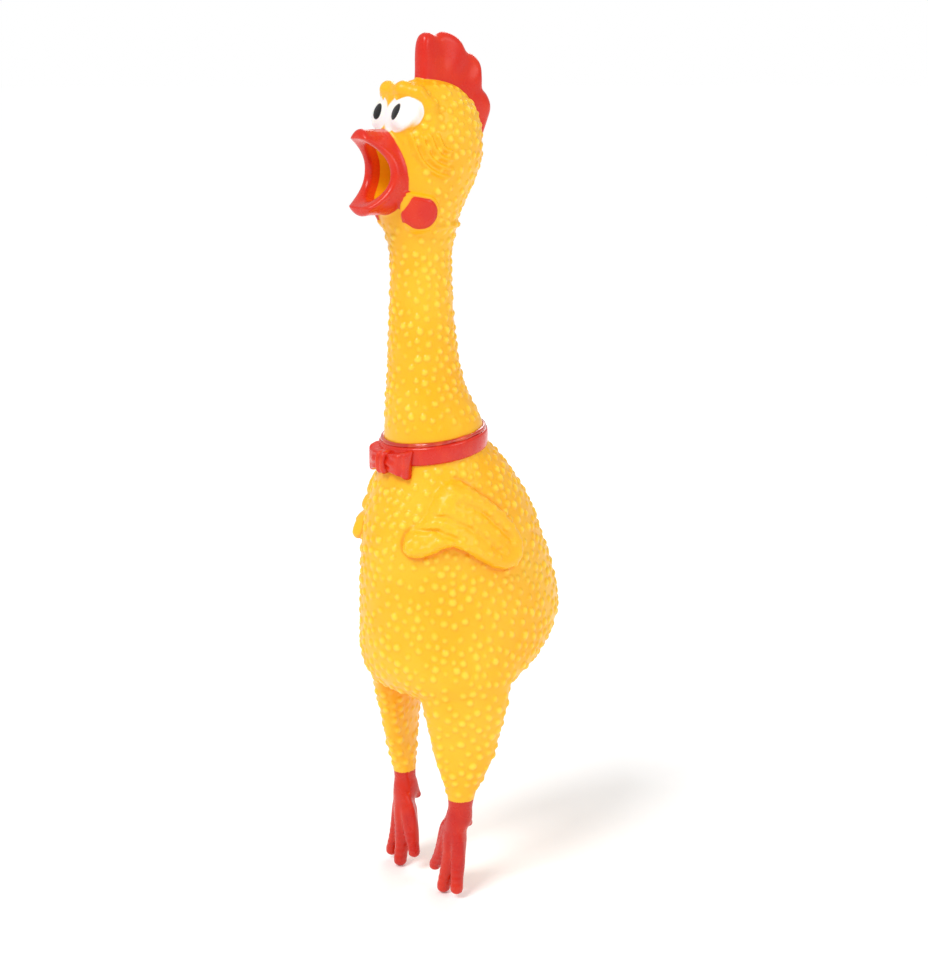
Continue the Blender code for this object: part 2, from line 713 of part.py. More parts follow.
def squawker_reed():
    """The reed: a thin tongue of film clamped at its foot, which flutters over the trough."""
    low, high = (-3.0, REED_Y - 0.2, REED_FOOT), (3.0, REED_Y + 0.2, REED_FOOT + 12.0)
    return block("squawker_reed", low, high, "reed_film")


def squawker_clamp():
    """The clamp block that holds the reed's foot against its seat."""
    low, high = (-3.4, -3.4, SEAT_FOOT), (3.4, REED_Y + 0.1, REED_FOOT - GAP)
    return block("squawker_clamp", low, high, "squawker_plastic")


def glue_bead():
    """The bead of glue in the corner between the neck's foot and the collar."""
    low = COLLAR_TOP + GAP
    outer = [oval_ring(r, z) for r, z in ((19.2, low), (19.0, low + 0.7), (18.5, low + 1.1))]
    inner = [oval_ring(r, z) for r, z in ((18.0, low), (17.9, low + 1.1))]
    return solid("glue_bead", outer + inner[::-1], "clear_glue", ring=True)


def build_neck_and_head(body):
    """Makes what bends on the body: the neck's middle on one axis, and the head on another."""
    neck_stretch("neck_fold_low", NECK_FOLD_LOW[0] + GAP, NECK_FOLD_LOW[1], 5)
    middle = neck_stretch("neck_middle", NECK_FOLD_LOW[1] + GAP, NECK_FOLD_HIGH[0], 4)
    fold = neck_stretch("neck_fold_high", NECK_FOLD_HIGH[0] + GAP, NECK_FOLD_HIGH[1], 5)
    neck = hang("neck_pivot", NECK_LOW_PIVOT, [middle, fold], body)
    pieces = [head_shell(), comb(), beak(), mouth_lining()]
    for word, side in (("left", 1), ("right", -1)):
        pieces += [wattle(f"wattle_{word}", side), eye(f"eye_{word}", side), pupil(f"pupil_{word}", side)]
    hang("head_pivot", NECK_HIGH_PIVOT, pieces, neck)


def build_leg(word, side, body):
    """Makes one leg, which swings at the hip, and its foot, which swings at the ankle."""
    hip_fold(f"hip_fold_{word}", side)
    pieces = [leg(f"leg_{word}", side), ankle_fold(f"ankle_fold_{word}", side)]
    hip = hang(f"hip_pivot_{word}", (side * HIP_PIVOT[0], *HIP_PIVOT[1:]), pieces, body)
    pivot = (side * ANKLE_PIVOT[0], *ANKLE_PIVOT[1:])
    hang(f"ankle_pivot_{word}", pivot, [foot(f"foot_{word}", side)], hip)


def build():
    """Makes every part of the toy, left side first."""
    clear_scene()
    torso = torso_shell()
    body = hang("body", (0.0, MIDDLE_Y, 0.0), [torso, collar_band(), bow_knot(), neck_base(), glue_bead()])
    for word, side in (("left", 1), ("right", -1)):
        bow_loop(f"bow_loop_{word}", side)
        wing(f"wing_{word}", side)
        build_leg(word, side, body)
    build_neck_and_head(body)
    squawker_housing()
    squawker_shallot()
    squawker_clamp()
    hang("reed_pivot", (0.0, REED_Y, REED_FOOT), [squawker_reed()], body)


build()
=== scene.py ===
"""The looks of a squawking rubber chicken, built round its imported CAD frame.

Each moulding is one smooth distance field, skinned once, given its raised pimples, and then parted
where the toy bends or where its paint changes, so that the pieces meet without a seam. Lengths are
millimetres about the collar's axis until a mesh is made: x across, y back and z up.
"""

import logging
import math
from collections.abc import Callable
from dataclasses import dataclass, field
from enum import Enum
from typing import ClassVar

import bpy
import numpy as np
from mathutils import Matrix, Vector, kdtree


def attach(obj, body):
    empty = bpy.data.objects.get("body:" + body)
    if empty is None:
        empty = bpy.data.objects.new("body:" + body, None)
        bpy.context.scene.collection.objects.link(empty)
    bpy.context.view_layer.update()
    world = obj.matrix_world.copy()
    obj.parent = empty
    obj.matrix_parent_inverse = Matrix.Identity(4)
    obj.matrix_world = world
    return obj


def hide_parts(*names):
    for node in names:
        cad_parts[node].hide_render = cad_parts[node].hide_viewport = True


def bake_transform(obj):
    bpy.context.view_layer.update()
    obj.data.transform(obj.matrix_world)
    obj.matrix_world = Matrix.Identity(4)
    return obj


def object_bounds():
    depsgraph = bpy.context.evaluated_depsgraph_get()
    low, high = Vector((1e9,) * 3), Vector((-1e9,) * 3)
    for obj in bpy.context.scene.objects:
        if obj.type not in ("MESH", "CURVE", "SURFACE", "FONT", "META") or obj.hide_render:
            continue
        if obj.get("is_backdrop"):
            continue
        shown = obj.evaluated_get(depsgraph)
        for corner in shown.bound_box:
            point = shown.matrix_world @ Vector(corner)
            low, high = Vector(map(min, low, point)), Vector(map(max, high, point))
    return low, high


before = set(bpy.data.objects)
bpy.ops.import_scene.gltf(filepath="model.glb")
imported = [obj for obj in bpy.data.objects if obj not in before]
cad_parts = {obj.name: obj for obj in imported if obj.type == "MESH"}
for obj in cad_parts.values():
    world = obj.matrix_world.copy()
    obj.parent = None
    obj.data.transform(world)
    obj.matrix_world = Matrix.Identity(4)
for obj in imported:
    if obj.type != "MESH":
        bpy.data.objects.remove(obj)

log = logging.getLogger("rubber_chicken")

Array = np.ndarray
Rows = tuple[tuple[float, ...], ...]
Pair = tuple[float, float]
Outline = tuple[Pair, ...]
Point = tuple[float, float, float]
Bar = tuple[Point, Point, float, float]
Field = Callable[[Array, Array, Array], Array]

# MIDDLE_Y is how far the frame's middle is behind the collar's axis, and UNPAINTED is a distance
# from paint that is sure to show none.
MM = 0.001
MIDDLE_Y = 11.7
UNPAINTED = 50.0


class Body(Enum):
    """The rigid bodies of the frame that the pieces follow."""

    TORSO = "body"
    NECK = "neck"
    HEAD = "head"
    LEFT_LEG = "left_leg"
    RIGHT_LEG = "right_leg"
    LEFT_FOOT = "left_foot"
    RIGHT_FOOT = "right_foot"


class Slot(Enum):
    """The material slots that the pieces show."""

    YELLOW = "yellow_vinyl"
    RED = "red_vinyl"
    WHITE = "white_paint"
    GLUE = "clear_glue"


class Side(Enum):
    """The toy's own left and right, with the sign of X on each."""

    LEFT = 1
    RIGHT = -1

    @property
    def word(self) -> str:
        """The side's name in lower case."""
        return self.name.lower()


# ---------------------------------------------------------------- distance fields
def blend_min(a: Array, b: Array, k: float) -> Array:
    """Joins two fields with a fillet.

    Args:
        a: First signed distance.
        b: Second signed distance.
        k: Width of the fillet.

    Returns:
        The joined signed distance.
    """
    h = np.clip(0.5 + 0.5 * (b - a) / k, 0.0, 1.0)
    return b + (a - b) * h - k * h * (1.0 - h)


def blend_max(a: Array, b: Array, k: float) -> Array:
    """Intersects two fields with a rounded edge.

    Args:
        a: First signed distance.
        b: Second signed distance.
        k: Width of the rounding.

    Returns:
        The intersected signed distance.
    """
    return -blend_min(-a, -b, k)


def smooth_step(value: Array, low: float, high: float) -> Array:
    """A smooth step from 0 at low to 1 at high.

    Args:
        value: Where to take it.
        low: Value at which the step starts.
        high: Value at which it ends; it may be under low.

    Returns:
        Numbers from 0 to 1.
    """
    t = np.clip((value - low) / (high - low), 0.0, 1.0)
    return t * t * (3.0 - 2.0 * t)


def ellipsoid(x: Array, y: Array, z: Array, centre: Point, radii: Point) -> Array:
    """Distance to an ellipsoid, near enough close to its surface.

    Args:
        x: Across.
        y: Back.
        z: Up.
        centre: Its centre.
        radii: Its half sizes.

    Returns:
        Signed distances.
    """
    dx, dy, dz = ((v - c) / r for v, c, r in zip((x, y, z), centre, radii))
    k = np.sqrt(dx * dx + dy * dy + dz * dz) + 1e-6
    slope = np.sqrt((dx / radii[0]) ** 2 + (dy / radii[1]) ** 2 + (dz / radii[2]) ** 2) / k + 1e-6
    return (k - 1.0) / slope


def limb(x: Array, y: Array, z: Array, start: Point, end: Point, r0: float, r1: float) -> Array:
    """Distance to a round-ended limb whose radius changes along it.

    Args:
        x: Across.
        y: Back.
        z: Up.
        start: Centre of its first end.
        end: Centre of its second end.
        r0: Radius at the first end.
        r1: Radius at the second end.

    Returns:
        Signed distances.
    """
    run = [e - s for s, e in zip(start, end)]
    length = sum(r * r for r in run)
    along = (x - start[0]) * run[0] + (y - start[1]) * run[1] + (z - start[2]) * run[2]
    t = np.clip(along / length, 0, 1)
    dx, dy, dz = x - start[0] - run[0] * t, y - start[1] - run[1] * t, z - start[2] - run[2] * t
    return np.sqrt(dx * dx + dy * dy + dz * dz) - (r0 + (r1 - r0) * t)


def ripple(x: Array, y: Array, z: Array, size: float, seed: int) -> Array:
    """A soft lumpy pattern between about -1 and 1.

    Args:
        x: Across.
        y: Back.
        z: Up.
        size: Rough distance between lumps.
        seed: Picks the pattern.

    Returns:
        The pattern at each point.
    """
    rng = np.random.default_rng(seed)
    total = 0.0
    for _ in range(5):
        way = rng.normal(size=3)
        way *= math.tau / size / np.linalg.norm(way) * rng.uniform(0.6, 1.4)
        total = total + np.sin(x * way[0] + y * way[1] + z * way[2] + rng.uniform(0, math.tau))
    return total / 3.0


def polyline_distance(u: Array, v: Array, points: Outline) -> Array:
    """Distance in a plane to an open line through points.

    Args:
        u: First coordinate.
        v: Second coordinate.
        points: Corners of the line.

    Returns:
        Unsigned distances.
    """
    best = np.full(np.shape(u), 1e9)
    for (u0, v0), (u1, v1) in zip(points, points[1:]):
        du, dv = u1 - u0, v1 - v0
        t = np.clip(((u - u0) * du + (v - v0) * dv) / (du * du + dv * dv), 0.0, 1.0)
        best = np.minimum(best, np.hypot(u - u0 - du * t, v - v0 - dv * t))
    return best


def inside_outline(u: Array, v: Array, points: Outline) -> Array:
    """Whether each place in a plane is inside a closed outline.

    Args:
        u: First coordinate.
        v: Second coordinate.
        points: Corners of the outline.

    Returns:
        True inside.
    """
    odd = np.zeros(np.shape(u), bool)
    for (u0, v0), (u1, v1) in zip(points, points[1:] + points[:1]):
        if v0 == v1:
            continue
        crosses = (v0 > v) != (v1 > v)
        odd ^= crosses & (u < (u1 - u0) * (v - v0) / (v1 - v0) + u0)
    return odd


@dataclass(frozen=True)
class Loft:
    """A form whose level sections change smoothly between a few rows of (height, size, size, ...)."""

    rows: Rows
    fine: float = 0.25

    def sizes(self, z: Array) -> list[Array]:
        """The sizes at each height.

        Args:
            z: Heights.

        Returns:
            One array for each size in a row.
        """
        rows = np.array(sorted(self.rows))
        knots = rows[:, 0]
        slopes = np.gradient(rows[:, 1:], knots, axis=0)
        grid = np.arange(knots[0], knots[-1] + self.fine, self.fine)
        k = np.clip(np.searchsorted(knots, grid, side="right") - 1, 0, len(knots) - 2)
        span = knots[k + 1] - knots[k]
        t = np.clip((grid - knots[k]) / span, 0.0, 1.0)[:, None]
        low, high = rows[k, 1:], rows[k + 1, 1:]
        into, out = slopes[k] * span[:, None], slopes[k + 1] * span[:, None]
        curve = (2 * t**3 - 3 * t**2 + 1) * low + (t**3 - 2 * t**2 + t) * into
        curve += (3 * t**2 - 2 * t**3) * high + (t**3 - t**2) * out
        return [np.interp(z, grid, curve[:, i]) for i in range(curve.shape[1])]


def oval_distance(a: Array, b: Array, half_a: Array, half_b: Array) -> Array:
    """Distance in a level plane to an oval about the origin.

    Args:
        a: Coordinate along one half size.
        b: Coordinate along the other.
        half_a: Half size along a.
        half_b: Half size along b.

    Returns:
        Signed distances, near enough close to the oval.
    """
    da, db = a / half_a, b / half_b
    k = np.sqrt(da * da + db * db) + 1e-6
    return (k - 1.0) * k / (np.sqrt((da / half_a) ** 2 + (db / half_b) ** 2) + 1e-6)


@dataclass(frozen=True)
class Tilt:
    """How the collar leans: lower in front and higher behind, fading away above and below."""

    slope: float = math.tan(math.radians(8.2))
    low: float = 128.0
    start: float = 155.0
    end: float = 173.0
    high: float = 206.0

    def level(self, y: Array, z: Array) -> Array:
        """The height that a point would have if the collar were level."""
        share = smooth_step(z, self.low, self.start) * smooth_step(z, self.high, self.end)
        return z - self.slope * y * share


TILT = Tilt()


# ---------------------------------------------------------------- skins and pieces
@dataclass
class Skin:
    """A surface taken from a distance field: its points, its four-sided faces and its marks."""

    points: Array
    faces: Array
    normals: Array = field(default_factory=lambda: np.zeros((0, 3)))
    marks: dict[str, Array] = field(default_factory=dict)
    slab: ClassVar[int] = 48
    rounds: ClassVar[int] = 3
    nudge: ClassVar[float] = 0.05
    flattest: ClassVar[float] = 0.04

    @classmethod
    def of_field(cls, distance: Field, low: Point, high: Point, step: float) -> "Skin":
        """Skins the zero level of a field with evenly sized faces.

        Args:
            distance: The field, negative inside.
            low: Lowest corner of the box to look in.
            high: Highest corner of it.
            step: Size of a face.

        Returns:
            The skin, pulled onto the field and evened out.
        """
        axes = [np.arange(a, b + step, step) for a, b in zip(low, high)]
        x, y, z = np.meshgrid(*axes, indexing="ij", sparse=True)
        shape = tuple(len(a) for a in axes)
        values = np.empty(shape, np.float32)
        for start in range(0, shape[2], cls.slab):
            part = slice(start, start + cls.slab)
            full = np.broadcast_arrays(x, y, z[:, :, part])
            values[:, :, part] = distance(*full)
        points, faces = cls._nets(values, np.array(low), step)
        skin = cls(points, faces)
        for _ in range(cls.rounds):
            skin._settle(distance)
            skin._even_out()
        skin._settle(distance)
        skin._settle(distance)
        skin.find_normals()
        return skin

    @staticmethod
    def _nets(values: Array, low: Array, step: float) -> tuple[Array, Array]:
        """Places one point in each cell that the surface crosses and joins neighbours.

        Args:
            values: The field on a grid.
            low: Lowest corner of the grid.
            step: Its spacing.

        Returns:
            Points, and faces as rows of four point numbers.
        """
        inside = values < 0
        corners = [(i, j, k) for i in (0, 1) for j in (0, 1) for k in (0, 1)]
        cells = tuple(n - 1 for n in values.shape)
        count = np.zeros(cells, np.uint8)
        for i, j, k in corners:
            count += inside[i:cells[0] + i, j:cells[1] + j, k:cells[2] + k]
        active = (count > 0) & (count < 8)
        where = np.argwhere(active)
        number = np.full(cells, -1, np.int64)
        number[active] = np.arange(len(where))
        at = {c: values[where[:, 0] + c[0], where[:, 1] + c[1], where[:, 2] + c[2]] for c in corners}
        total, hits = np.zeros((len(where), 3)), np.zeros(len(where))
        for a in corners:
            for axis in range(3):
                if a[axis]:
                    continue
                b = tuple(v + (i == axis) for i, v in enumerate(a))
                va, vb = at[a], at[b]
                cross = (va < 0) != (vb < 0)
                t = np.where(cross, va / np.where(va == vb, 1.0, va - vb), 0.0)
                spot = np.array(a)[None, :] + t[:, None] * (np.array(b) - np.array(a))[None, :]
                total += spot * cross[:, None]
                hits += cross
        points = low + (where + total / hits[:, None]) * step
        faces = []
        for axis in range(3):
            one, two = (axis + 1) % 3, (axis + 2) % 3
            ahead = [slice(1, -1)] * 3
            ahead[axis] = slice(0, -1)
            after = [slice(1, -1)] * 3
            after[axis] = slice(1, None)
            first, second = inside[tuple(ahead)], inside[tuple(after)]
            edges = np.argwhere(first != second)
            base = edges + np.array([0 if i == axis else 1 for i in range(3)])
            e1, e2 = np.eye(3, dtype=int)[one], np.eye(3, dtype=int)[two]
            ring = [base - e1 - e2, base - e2, base, base - e1]
            quads = np.stack([number[tuple(r.T)] for r in ring], axis=1)
            outward = first[tuple(edges.T)]
            faces.append(np.where(outward[:, None], quads, quads[:, ::-1]))
        return points, np.concatenate(faces)

    def _settle(self, distance: Field, reach: float = 0.5) -> None:
        """Moves every point onto the field's zero level.

        Args:
            distance: The field.
            reach: The furthest that one call moves a point.
        """
        here = distance(*self.points.T)
        slope = np.empty_like(self.points)
        for axis in range(3):
            shift = np.zeros(3)
            shift[axis] = self.nudge
            ahead = distance(*(self.points + shift).T)
            slope[:, axis] = (ahead - distance(*(self.points - shift).T)) / (2 * self.nudge)
        size = np.maximum((slope**2).sum(1), self.flattest)
        move = -np.clip(here / size, -reach, reach)[:, None] * slope
        self.points = self.points + move
        self.normals = slope / np.sqrt(size)[:, None]

    def _even_out(self, share: float = 0.6) -> None:
        """Slides points along the surface towards the middle of their neighbours.

        Args:
            share: How far of the way they slide.
        """
        total, count = np.zeros_like(self.points), np.zeros(len(self.points))
        for i in range(4):
            a, b = self.faces[:, i], self.faces[:, (i + 1) % 4]
            for axis in range(3):
                total[:, axis] += np.bincount(a, self.points[b, axis], len(count))
                total[:, axis] += np.bincount(b, self.points[a, axis], len(count))
            count += np.bincount(a, minlength=len(count)) + np.bincount(b, minlength=len(count))
        move = total / count[:, None] - self.points
        move -= self.normals * (move * self.normals).sum(1)[:, None]
        self.points = self.points + move * share

    def find_normals(self) -> None:
        """Works out each point's normal from the faces round it."""
        p = self.points[self.faces]
        face = np.cross(p[:, 2] - p[:, 0], p[:, 3] - p[:, 1])
        total = np.zeros_like(self.points)
        for i in range(4):
            for axis in range(3):
                total[:, axis] += np.bincount(self.faces[:, i], face[:, axis], len(total))
        self.normals = total / np.maximum(np.linalg.norm(total, axis=1), 1e-9)[:, None]

    def _tree(self) -> kdtree.KDTree:
        """A search tree of the points.

        Returns:
            The balanced tree.
        """
        tree = kdtree.KDTree(len(self.points))
        for i, p in enumerate(self.points):
            tree.insert(p, i)
        tree.balance()
        return tree

    def raise_pimples(self, pimples: "Pimples", room: Array, seed: int) -> None:
        """Raises rounded pimples all over, and marks how high each point was raised.

        Args:
            pimples: Their sizes.
            room: For each point, how full-sized a pimple may be there, from 0 for none to 1.
            seed: Picks their places.
        """
        rng = np.random.default_rng(seed)
        order = rng.permutation(np.flatnonzero(room > pimples.least_room))[: pimples.tries]
        kept: dict[tuple[int, int, int], list[Array]] = {}
        centres = []
        cell = pimples.spacing
        around = [(i, j, k) for i in (-1, 0, 1) for j in (-1, 0, 1) for k in (-1, 0, 1)]
        for n in order:
            p = self.points[n]
            a, b, c = (int(v // cell) for v in p)
            near = (q for i, j, k in around for q in kept.get((a + i, b + j, c + k), ()))
            drift = math.sin(p[0] * pimples.drift[0] + p[2] * pimples.drift[1])
            gap = (pimples.spacing * (1.0 + pimples.uneven * drift)) ** 2
            if any(((p - q) ** 2).sum() < gap for q in near):
                continue
            kept.setdefault((a, b, c), []).append(p)
            centres.append(n)
        tree = self._tree()
        lift = np.zeros(len(self.points))
        for n in centres:
            size = rng.uniform(*pimples.radius) * (pimples.narrowest + pimples.widening * room[n])
            tall = rng.uniform(*pimples.height) * room[n] * size / pimples.radius[1]
            stretch, turn = rng.uniform(1.0, pimples.longest), rng.uniform(0.0, math.pi)
            normal = self.normals[n]
            side = np.cross(normal, (0.0, 0.0, 1.0) if abs(normal[2]) < 0.9 else (1.0, 0.0, 0.0))
            side /= np.linalg.norm(side)
            up = np.cross(side, normal)
            way = math.cos(turn) * side + math.sin(turn) * up
            found = tree.find_range(self.points[n], size * stretch)
            index = np.array([f[1] for f in found])
            away = self.points[index] - self.points[n]
            along = away @ way
            square = (away**2).sum(1) - along**2 + (along / stretch) ** 2
            left = np.clip(1.0 - square / size**2, 0.0, 1.0)
            lift[index] = np.maximum(lift[index], tall * left**pimples.roundness)
        self.points = self.points + self.normals * lift[:, None]
        # The finish paints this mark as a highlight on the pimples.
        self.marks["relief"] = lift / pimples.height[1]
        self.find_normals()

    def mark(self, **marks: Array) -> None:
        """Stores numbers for the points, which the finish reads."""
        for name, values in marks.items():
            self.marks[name] = np.broadcast_to(values, (len(self.points),)).astype(np.float32)

    def piece(self, name: str, chosen: Array, material: bpy.types.Material) -> bpy.types.Object:
        """Makes an object of some of the faces, shaded as if the whole skin were there.

        Args:
            name: The object's name.
            chosen: True for each face that belongs.
            material: Its finish.

        Returns:
            The new object.
        """
        faces = self.faces[chosen]
        used, index = np.unique(faces, return_inverse=True)
        faces = index.reshape(-1, 4)
        mesh = bpy.data.meshes.new(name)
        mesh.vertices.add(len(used))
        spots = (self.points[used] - (0.0, MIDDLE_Y, 0.0)) * MM
        mesh.vertices.foreach_set("co", spots.astype(np.float32).ravel())
        mesh.loops.add(faces.size)
        mesh.loops.foreach_set("vertex_index", faces.astype(np.int32).ravel())
        mesh.polygons.add(len(faces))
        mesh.polygons.foreach_set("loop_start", np.arange(0, faces.size, 4, dtype=np.int32))
        mesh.polygons.foreach_set("use_smooth", np.ones(len(faces), bool))
        mesh.update(calc_edges=True)
        mesh.validate()
        rest = mesh.attributes.new("rest", "FLOAT_VECTOR", "POINT")
        rest.data.foreach_set("vector", (self.points[used]).astype(np.float32).ravel())
        for mark, values in self.marks.items():
            layer = mesh.attributes.new(mark, "FLOAT", "POINT")
            layer.data.foreach_set("value", values[used].astype(np.float32))
        mesh.normals_split_custom_set_from_vertices(self.normals[used].tolist())
        mesh.materials.append(material)
        obj = bpy.data.objects.new(name, mesh)
        bpy.context.scene.collection.objects.link(obj)
        log.info("%s: %d faces", name, len(faces))
        return obj

    def middles(self) -> tuple[Array, Array, Array]:
        """The middle of each face."""
        return tuple(self.points[self.faces].mean(1).T)

    def face_mark(self, values: Array) -> Array:
        """A mark averaged over each face's corners."""
        return values[self.faces].mean(1)


@dataclass(frozen=True)
class Pimples:
    """The raised pimples of the vinyl: how close they stand, and how their sizes vary."""

    spacing: float = 3.3
    uneven: float = 0.10
    drift: Pair = (0.31, 0.23)
    radius: Pair = (1.2, 1.7)
    height: Pair = (0.6, 0.9)
    roundness: float = 1.0
    longest: float = 1.22
    narrowest: float = 0.7
    widening: float = 0.3
    least_room: float = 0.35
    tries: int = 60000


def ride(piece: bpy.types.Object, body: Body, slot: Slot, *nodes: str) -> None:
    """Says that a rigid piece follows one body.

    Args:
        piece: The piece.
        body: The body that it follows.
        slot: Not used.
        nodes: The CAD nodes that it replaces.
    """
    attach(piece, body.value)
    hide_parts(*nodes)


@dataclass(frozen=True)
class Bend:
    """A stretch of skin that bends from one body to another, between two heights."""

    first: Body
    second: Body
    x: float
    y: float
    start: float
    end: float

    def _place(self, z: float) -> Point:
        """A place on the bend's line, in the frame's metres."""
        return self.x * MM, (self.y - MIDDLE_Y) * MM, z * MM

    def join(self, piece: bpy.types.Object, slot: Slot, *nodes: str) -> None:
        """Bakes a piece's placement into its mesh and hides the CAD nodes that it replaces.

        Args:
            piece: The piece.
            slot: Not used.
            nodes: The CAD nodes that it replaces.
        """
        start, end = self._place(self.start), self._place(self.end)
        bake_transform(piece)
        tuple(start)
        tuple(end)
        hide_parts(*nodes)


# ---------------------------------------------------------------- finishes
class Socket:
    """A number inside a shader, which takes ordinary arithmetic."""

    def __init__(self, graph: "Graph", output: bpy.types.NodeSocket) -> None:
        """Wraps a node's output."""
        self.graph = graph
        self.output = output

    def _maths(self, operation: str, first: "Socket | float", second: "Socket | float") -> "Socket":
        """Adds one Math node."""
        return self.graph.node("ShaderNodeMath", {"operation": operation}, {0: first, 1: second})

    def __add__(self, other: "Socket | float") -> "Socket":
        """Adds to this."""
        return self._maths("ADD", self, other)

    __radd__ = __add__

    def __mul__(self, other: "Socket | float") -> "Socket":
        """Multiplies this."""
        return self._maths("MULTIPLY", self, other)

    __rmul__ = __mul__

    def __sub__(self, other: "Socket | float") -> "Socket":
        """Takes away from this."""
        return self._maths("SUBTRACT", self, other)

    def __rsub__(self, other: "Socket | float") -> "Socket":
        """Takes this away from a number."""
        return self._maths("SUBTRACT", other, self)

    def step(self, low: float, high: float, floor: float = 0.0, top: float = 1.0) -> "Socket":
        """A smooth step of this number."""
        inputs = {"Value": self, "From Min": low, "From Max": high, "To Min": floor, "To Max": top}
        return self.graph.node("ShaderNodeMapRange", {"interpolation_type": "SMOOTHSTEP"}, inputs)


class Graph:
    """The node tree of a material or of the world, written as calls."""

    def __init__(self, owner: bpy.types.Material | bpy.types.World) -> None:
        """Starts with only the owner's shader.

        Args:
            owner: A new material, or the world.
        """
        owner.use_nodes = True
        self.owner = owner
        self.tree = owner.node_tree
        self.shader = self.tree.nodes.get("Principled BSDF") or self.tree.nodes["Background"]

    def node(self, kind: str, settings: dict | None = None, inputs: dict | None = None,
             output: int | str = 0) -> Socket:
        """Adds one node.

        Args:
            kind: Its type.
            settings: Its properties.
            inputs: Its sockets, by name or number, each a value or a Socket.
            output: Which of its outputs is wanted.

        Returns:
            That output.
        """
        made = self.tree.nodes.new(kind)
        for key, value in (settings or {}).items():
            setattr(made, key, value)
        for key, value in (inputs or {}).items():
            if isinstance(value, Socket):
                self.tree.links.new(value.output, made.inputs[key])
            else:
                made.inputs[key].default_value = value
        return Socket(self, made.outputs[output])

    def mix(self, factor: Socket | float, a: Socket | tuple, b: Socket | tuple) -> Socket:
        """Mixes two colours.

        Args:
            factor: Share of the second.
            a: First colour.
            b: Second colour.

        Returns:
            The mixed colour.
        """
        full = [v if isinstance(v, Socket) else (*v, 1.0) for v in (a, b)]
        inputs = {"Factor": factor, 6: full[0], 7: full[1]}
        return self.node("ShaderNodeMix", {"data_type": "RGBA"}, inputs, output=2)

    def mark(self, name: str) -> Socket:
        """Reads one of the skin's marks."""
        return self.node("ShaderNodeAttribute", {"attribute_name": name}, output="Fac")

    def noise(self, size: float, detail: float = 3.0) -> Socket:
        """Soft noise fixed to the toy at rest."""
        place = self.node("ShaderNodeAttribute", {"attribute_name": "rest"}, output="Vector")
        return self.node("ShaderNodeTexNoise", {}, {"Vector": place, "Scale": 1.0 / size, "Detail": detail})

    def feed(self, **links: Socket | float | tuple) -> None:
        """Feeds the shader's sockets.

        Args:
            links: A value or Socket for each socket, with _ for a space in its name.
        """
        for key, value in links.items():
            target = self.shader.inputs[key.replace("_", " ")]
            if isinstance(value, Socket):
                self.tree.links.new(value.output, target)
            else:
                target.default_value = value


@dataclass(frozen=True)
class PaintedVinyl:
    """Soft glossy vinyl coloured all through, with paint, painted highlights and painted shade on it where
    the marks say.
    """

    name: str = "painted_vinyl"
    vinyl: Point = (0.97, 0.455, 0.004)
    # bright is both the random lighter tone of the vinyl and the colour of the painted highlights.
    bright: Point = (1.0, 0.72, 0.06)
    # deep is the orange of the painted shade.
    deep: Point = (0.93, 0.30, 0.002)
    red: Point = (0.68, 0.020, 0.008)
    inner_red: Point = (0.84, 0.070, 0.007)
    white: Point = (0.93, 0.91, 0.88)
    black: Point = (0.012, 0.011, 0.011)
    gloss: float = 0.36

    def material(self) -> bpy.types.Material:
        """Builds the material.

        Returns:
            The material.
        """
        g = Graph(bpy.data.materials.new(self.name))
        cloud = g.noise(26.0).step(0.35, 0.65)
        relief = g.mark("relief")
        painted_shade = g.mark("painted_shade")
        base = g.mix(cloud * 0.22, self.vinyl, self.bright)
        # Painted highlight: the raised pimples, and the deep inside of the mouth, are painted brighter
        # through the relief mark.
        base = g.mix(relief.step(0.1, 0.9, 0.0, 0.72), base, self.bright)
        # Painted shade: creases under the wings, between the legs and round the wattles are painted a
        # deeper orange.
        base = g.mix(painted_shade.step(0.0, 1.0, 0.0, 0.85), base, self.deep)
        wobble = (g.noise(1.6) - 0.5) * 0.22
        red = (g.mark("red") + wobble).step(0.12, -0.12)
        inner = g.mark("inner").step(0.0, 1.0)
        red_tone = g.mix(inner, self.red, self.inner_red)
        red_tone = g.mix(g.noise(9.0).step(0.35, 0.7, 0.0, 0.3), red_tone, self.inner_red)
        colour = g.mix(red, base, red_tone)
        white = (g.mark("white") + wobble).step(0.35, -0.35)
        colour = g.mix(white, colour, self.white)
        black = (g.mark("black") + wobble * 0.4).step(0.16, -0.16)
        colour = g.mix(black, colour, self.black)
        rough = g.noise(5.0).step(0.3, 0.7, self.gloss - 0.04, self.gloss + 0.05)
        rough = rough - red * 0.09 - black * 0.2
        grain = g.noise(0.9, 4.0) * 0.6 + g.noise(3.2, 2.0)
        bump = g.node("ShaderNodeBump", {}, {"Strength": 0.35, "Distance": 0.00012, "Height": grain})
        g.feed(Base_Color=colour, Roughness=rough, Normal=bump)
        g.feed(Specular_IOR_Level=0.34, Coat_Weight=0.09, Coat_Roughness=0.2)
        g.feed(Subsurface_Weight=0.12, Subsurface_Scale=0.003, Subsurface_Radius=(1.0, 0.45, 0.08))
        return g.owner


@dataclass(frozen=True)
class FootPaint(PaintedVinyl):
    """The vinyl again, under the deeper red that the feet are dipped in."""

    name: str = "painted_feet"
    red: Point = (0.52, 0.010, 0.004)
    inner_red: Point = (0.78, 0.050, 0.010)


